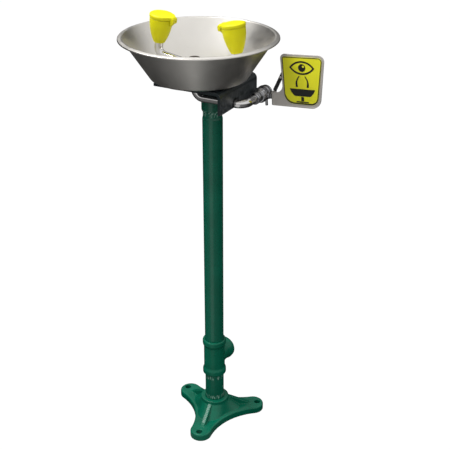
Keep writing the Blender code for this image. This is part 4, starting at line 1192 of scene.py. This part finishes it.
def toward(tree, split, azimuth):
    """The cosine of the angle, seen from above, between a direction and an azimuth."""
    angle = math.radians(azimuth)
    x, y = split.outputs["X"], split.outputs["Y"]
    squares = (math_node(tree, "MULTIPLY", x, x), math_node(tree, "MULTIPLY", y, y))
    size = math_node(tree, "SQRT", math_node(tree, "ADD", *squares))
    along_x = math_node(tree, "MULTIPLY", x, math.sin(angle))
    along_y = math_node(tree, "MULTIPLY", y, -math.cos(angle))
    dot = math_node(tree, "ADD", along_x, along_y)
    return math_node(tree, "DIVIDE", dot, math_node(tree, "MAXIMUM", size, 0.001))


def studio_floor():
    """A pale floor, an even glow to the camera. What the object reflects of it is a painted glow and
    darker, as of a floor that is lit only in front, with a painted shadow close to the object.
    """
    shape = bmesh.new()
    bmesh.ops.create_circle(shape, cap_ends=True, segments=96, radius=30)
    mesh = bpy.data.meshes.new("studio_floor")
    shape.to_mesh(mesh)
    shape.free()
    floor = loose("studio_floor", mesh)
    floor.location.z = -0.0005
    made = bpy.data.materials.new("studio_floor_pale")
    made.use_nodes = True
    tree = made.node_tree
    tree.nodes.remove(tree.nodes["Principled BSDF"])
    place = tree.nodes.new("ShaderNodeTexCoord").outputs["Object"]
    split = add(tree, "ShaderNodeSeparateXYZ", Vector=place)
    # Reflections see a painted glow, no lamp: brighter to the front and along a narrow strip, and darker
    # close to the object as a painted shadow.
    wide = ease(tree, toward(tree, split, 12), -0.2, 1.0, 0.03, 0.18)
    strip = ease(tree, toward(tree, split, 8), 0.90, 0.985, 0.0, 0.50)
    distance = add(tree, "ShaderNodeVectorMath", operation="LENGTH")
    tree.links.new(place, distance.inputs[0])
    painted_contact_shadow = ease(tree, distance.outputs["Value"], 0.10, 0.55, 0.35, 1.0)
    painted_glow = math_node(tree, "MULTIPLY", painted_contact_shadow, math_node(tree, "ADD", wide, strip))
    reflected = add(tree, "ShaderNodeEmission", Strength=painted_glow)
    pale = add(tree, "ShaderNodeBsdfDiffuse", Color=(0.9, 0.9, 0.9, 1))
    glow = add(tree, "ShaderNodeEmission", Strength=1.04)
    seen_floor = tree.nodes.new("ShaderNodeMixShader")
    seen_floor.inputs["Fac"].default_value = 0.04
    tree.links.new(glow.outputs[0], seen_floor.inputs[1])
    tree.links.new(pale.outputs[0], seen_floor.inputs[2])
    seen = tree.nodes.new("ShaderNodeLightPath").outputs["Is Camera Ray"]
    mix = add(tree, "ShaderNodeMixShader", Fac=seen)
    tree.links.new(reflected.outputs[0], mix.inputs[1])
    tree.links.new(seen_floor.outputs[0], mix.inputs[2])
    tree.links.new(mix.outputs[0], tree.nodes["Material Output"].inputs["Surface"])
    mesh.materials.append(made)


def studio_sky():
    """White behind the object. Its reflections see a bright ceiling and front, and a dark low back."""
    world = bpy.data.worlds.new("studio")
    bpy.context.scene.world = world
    world.use_nodes = True
    tree = world.node_tree
    background = tree.nodes["Background"]
    heading = tree.nodes.new("ShaderNodeTexCoord").outputs["Generated"]
    split = add(tree, "ShaderNodeSeparateXYZ", Vector=heading)
    front = ease(tree, toward(tree, split, 52), -0.55, 0.5)
    zenith = ease(tree, split.outputs["Z"], 0.86, 0.97, 1.0, 0.35)
    ceiling = math_node(tree, "MULTIPLY", ease(tree, split.outputs["Z"], 0.42, 0.80, 0.03, 1.05), zenith)
    wall = math_node(tree, "MULTIPLY", ease(tree, split.outputs["Z"], -0.05, 0.27, 0.12, 0.93), zenith)
    more = math_node(tree, "SUBTRACT", wall, ceiling)
    lit = math_node(tree, "ADD", ceiling, math_node(tree, "MULTIPLY", front, more))
    shades = add(tree, "ShaderNodeCombineColor", Red=lit, Green=lit, Blue=lit)
    seen = tree.nodes.new("ShaderNodeLightPath").outputs["Is Camera Ray"]
    tree.links.new(blend_colours(tree, seen, shades.outputs[0], (1, 1, 1)), background.inputs["Color"])


def softbox(name, azimuth, elevation, distance, width, height, power, aim, mirrored=False):
    """An area light, placed round its aim: azimuth 0 is the user's side."""
    light = bpy.data.lights.new(name, "AREA")
    light.shape = "RECTANGLE"
    light.size, light.size_y = width, height
    light.energy = power
    made = loose(name, light)
    a, e = math.radians(azimuth), math.radians(elevation)
    aim = Vector(aim)
    outward = Vector((math.sin(a) * math.cos(e), -math.cos(a) * math.cos(e), math.sin(e)))
    made.location = aim + distance * outward
    made.rotation_euler = (aim - made.location).to_track_quat("-Z", "Y").to_euler()
    made.visible_glossy = mirrored


def camera():
    lens = bpy.data.cameras.new("camera")
    lens.lens = CAMERA_LENS
    lens.sensor_width = CAMERA_SENSOR
    made = loose("camera", lens)
    made.location = CAMERA_PLACE
    made.rotation_euler = [math.radians(angle) for angle in CAMERA_TURN]
    bpy.context.scene.camera = made


camera()
studio_floor()
studio_sky()
softbox("key", -38, 52, distance=2.4, width=1.8, height=1.6, power=27, aim=(0, 0, 0.6))
softbox("overhead", -70, 72, distance=2.4, width=0.7, height=0.7, power=23, aim=(0, 0, 0.1),
        mirrored=True)
bpy.context.scene.view_settings.view_transform = "Standard"

floor_flange()
waste_tee()
column()
support_flange()
mounting_bracket()
bowl()
drain()
supply()
arms()
yoke()
spray_head(-1, "left")
spray_head(1, "right")
ball_valve()
stem_and_nuts()
flag_handle()
flag_brace()
push_sign()
dress_hidden_nodes()
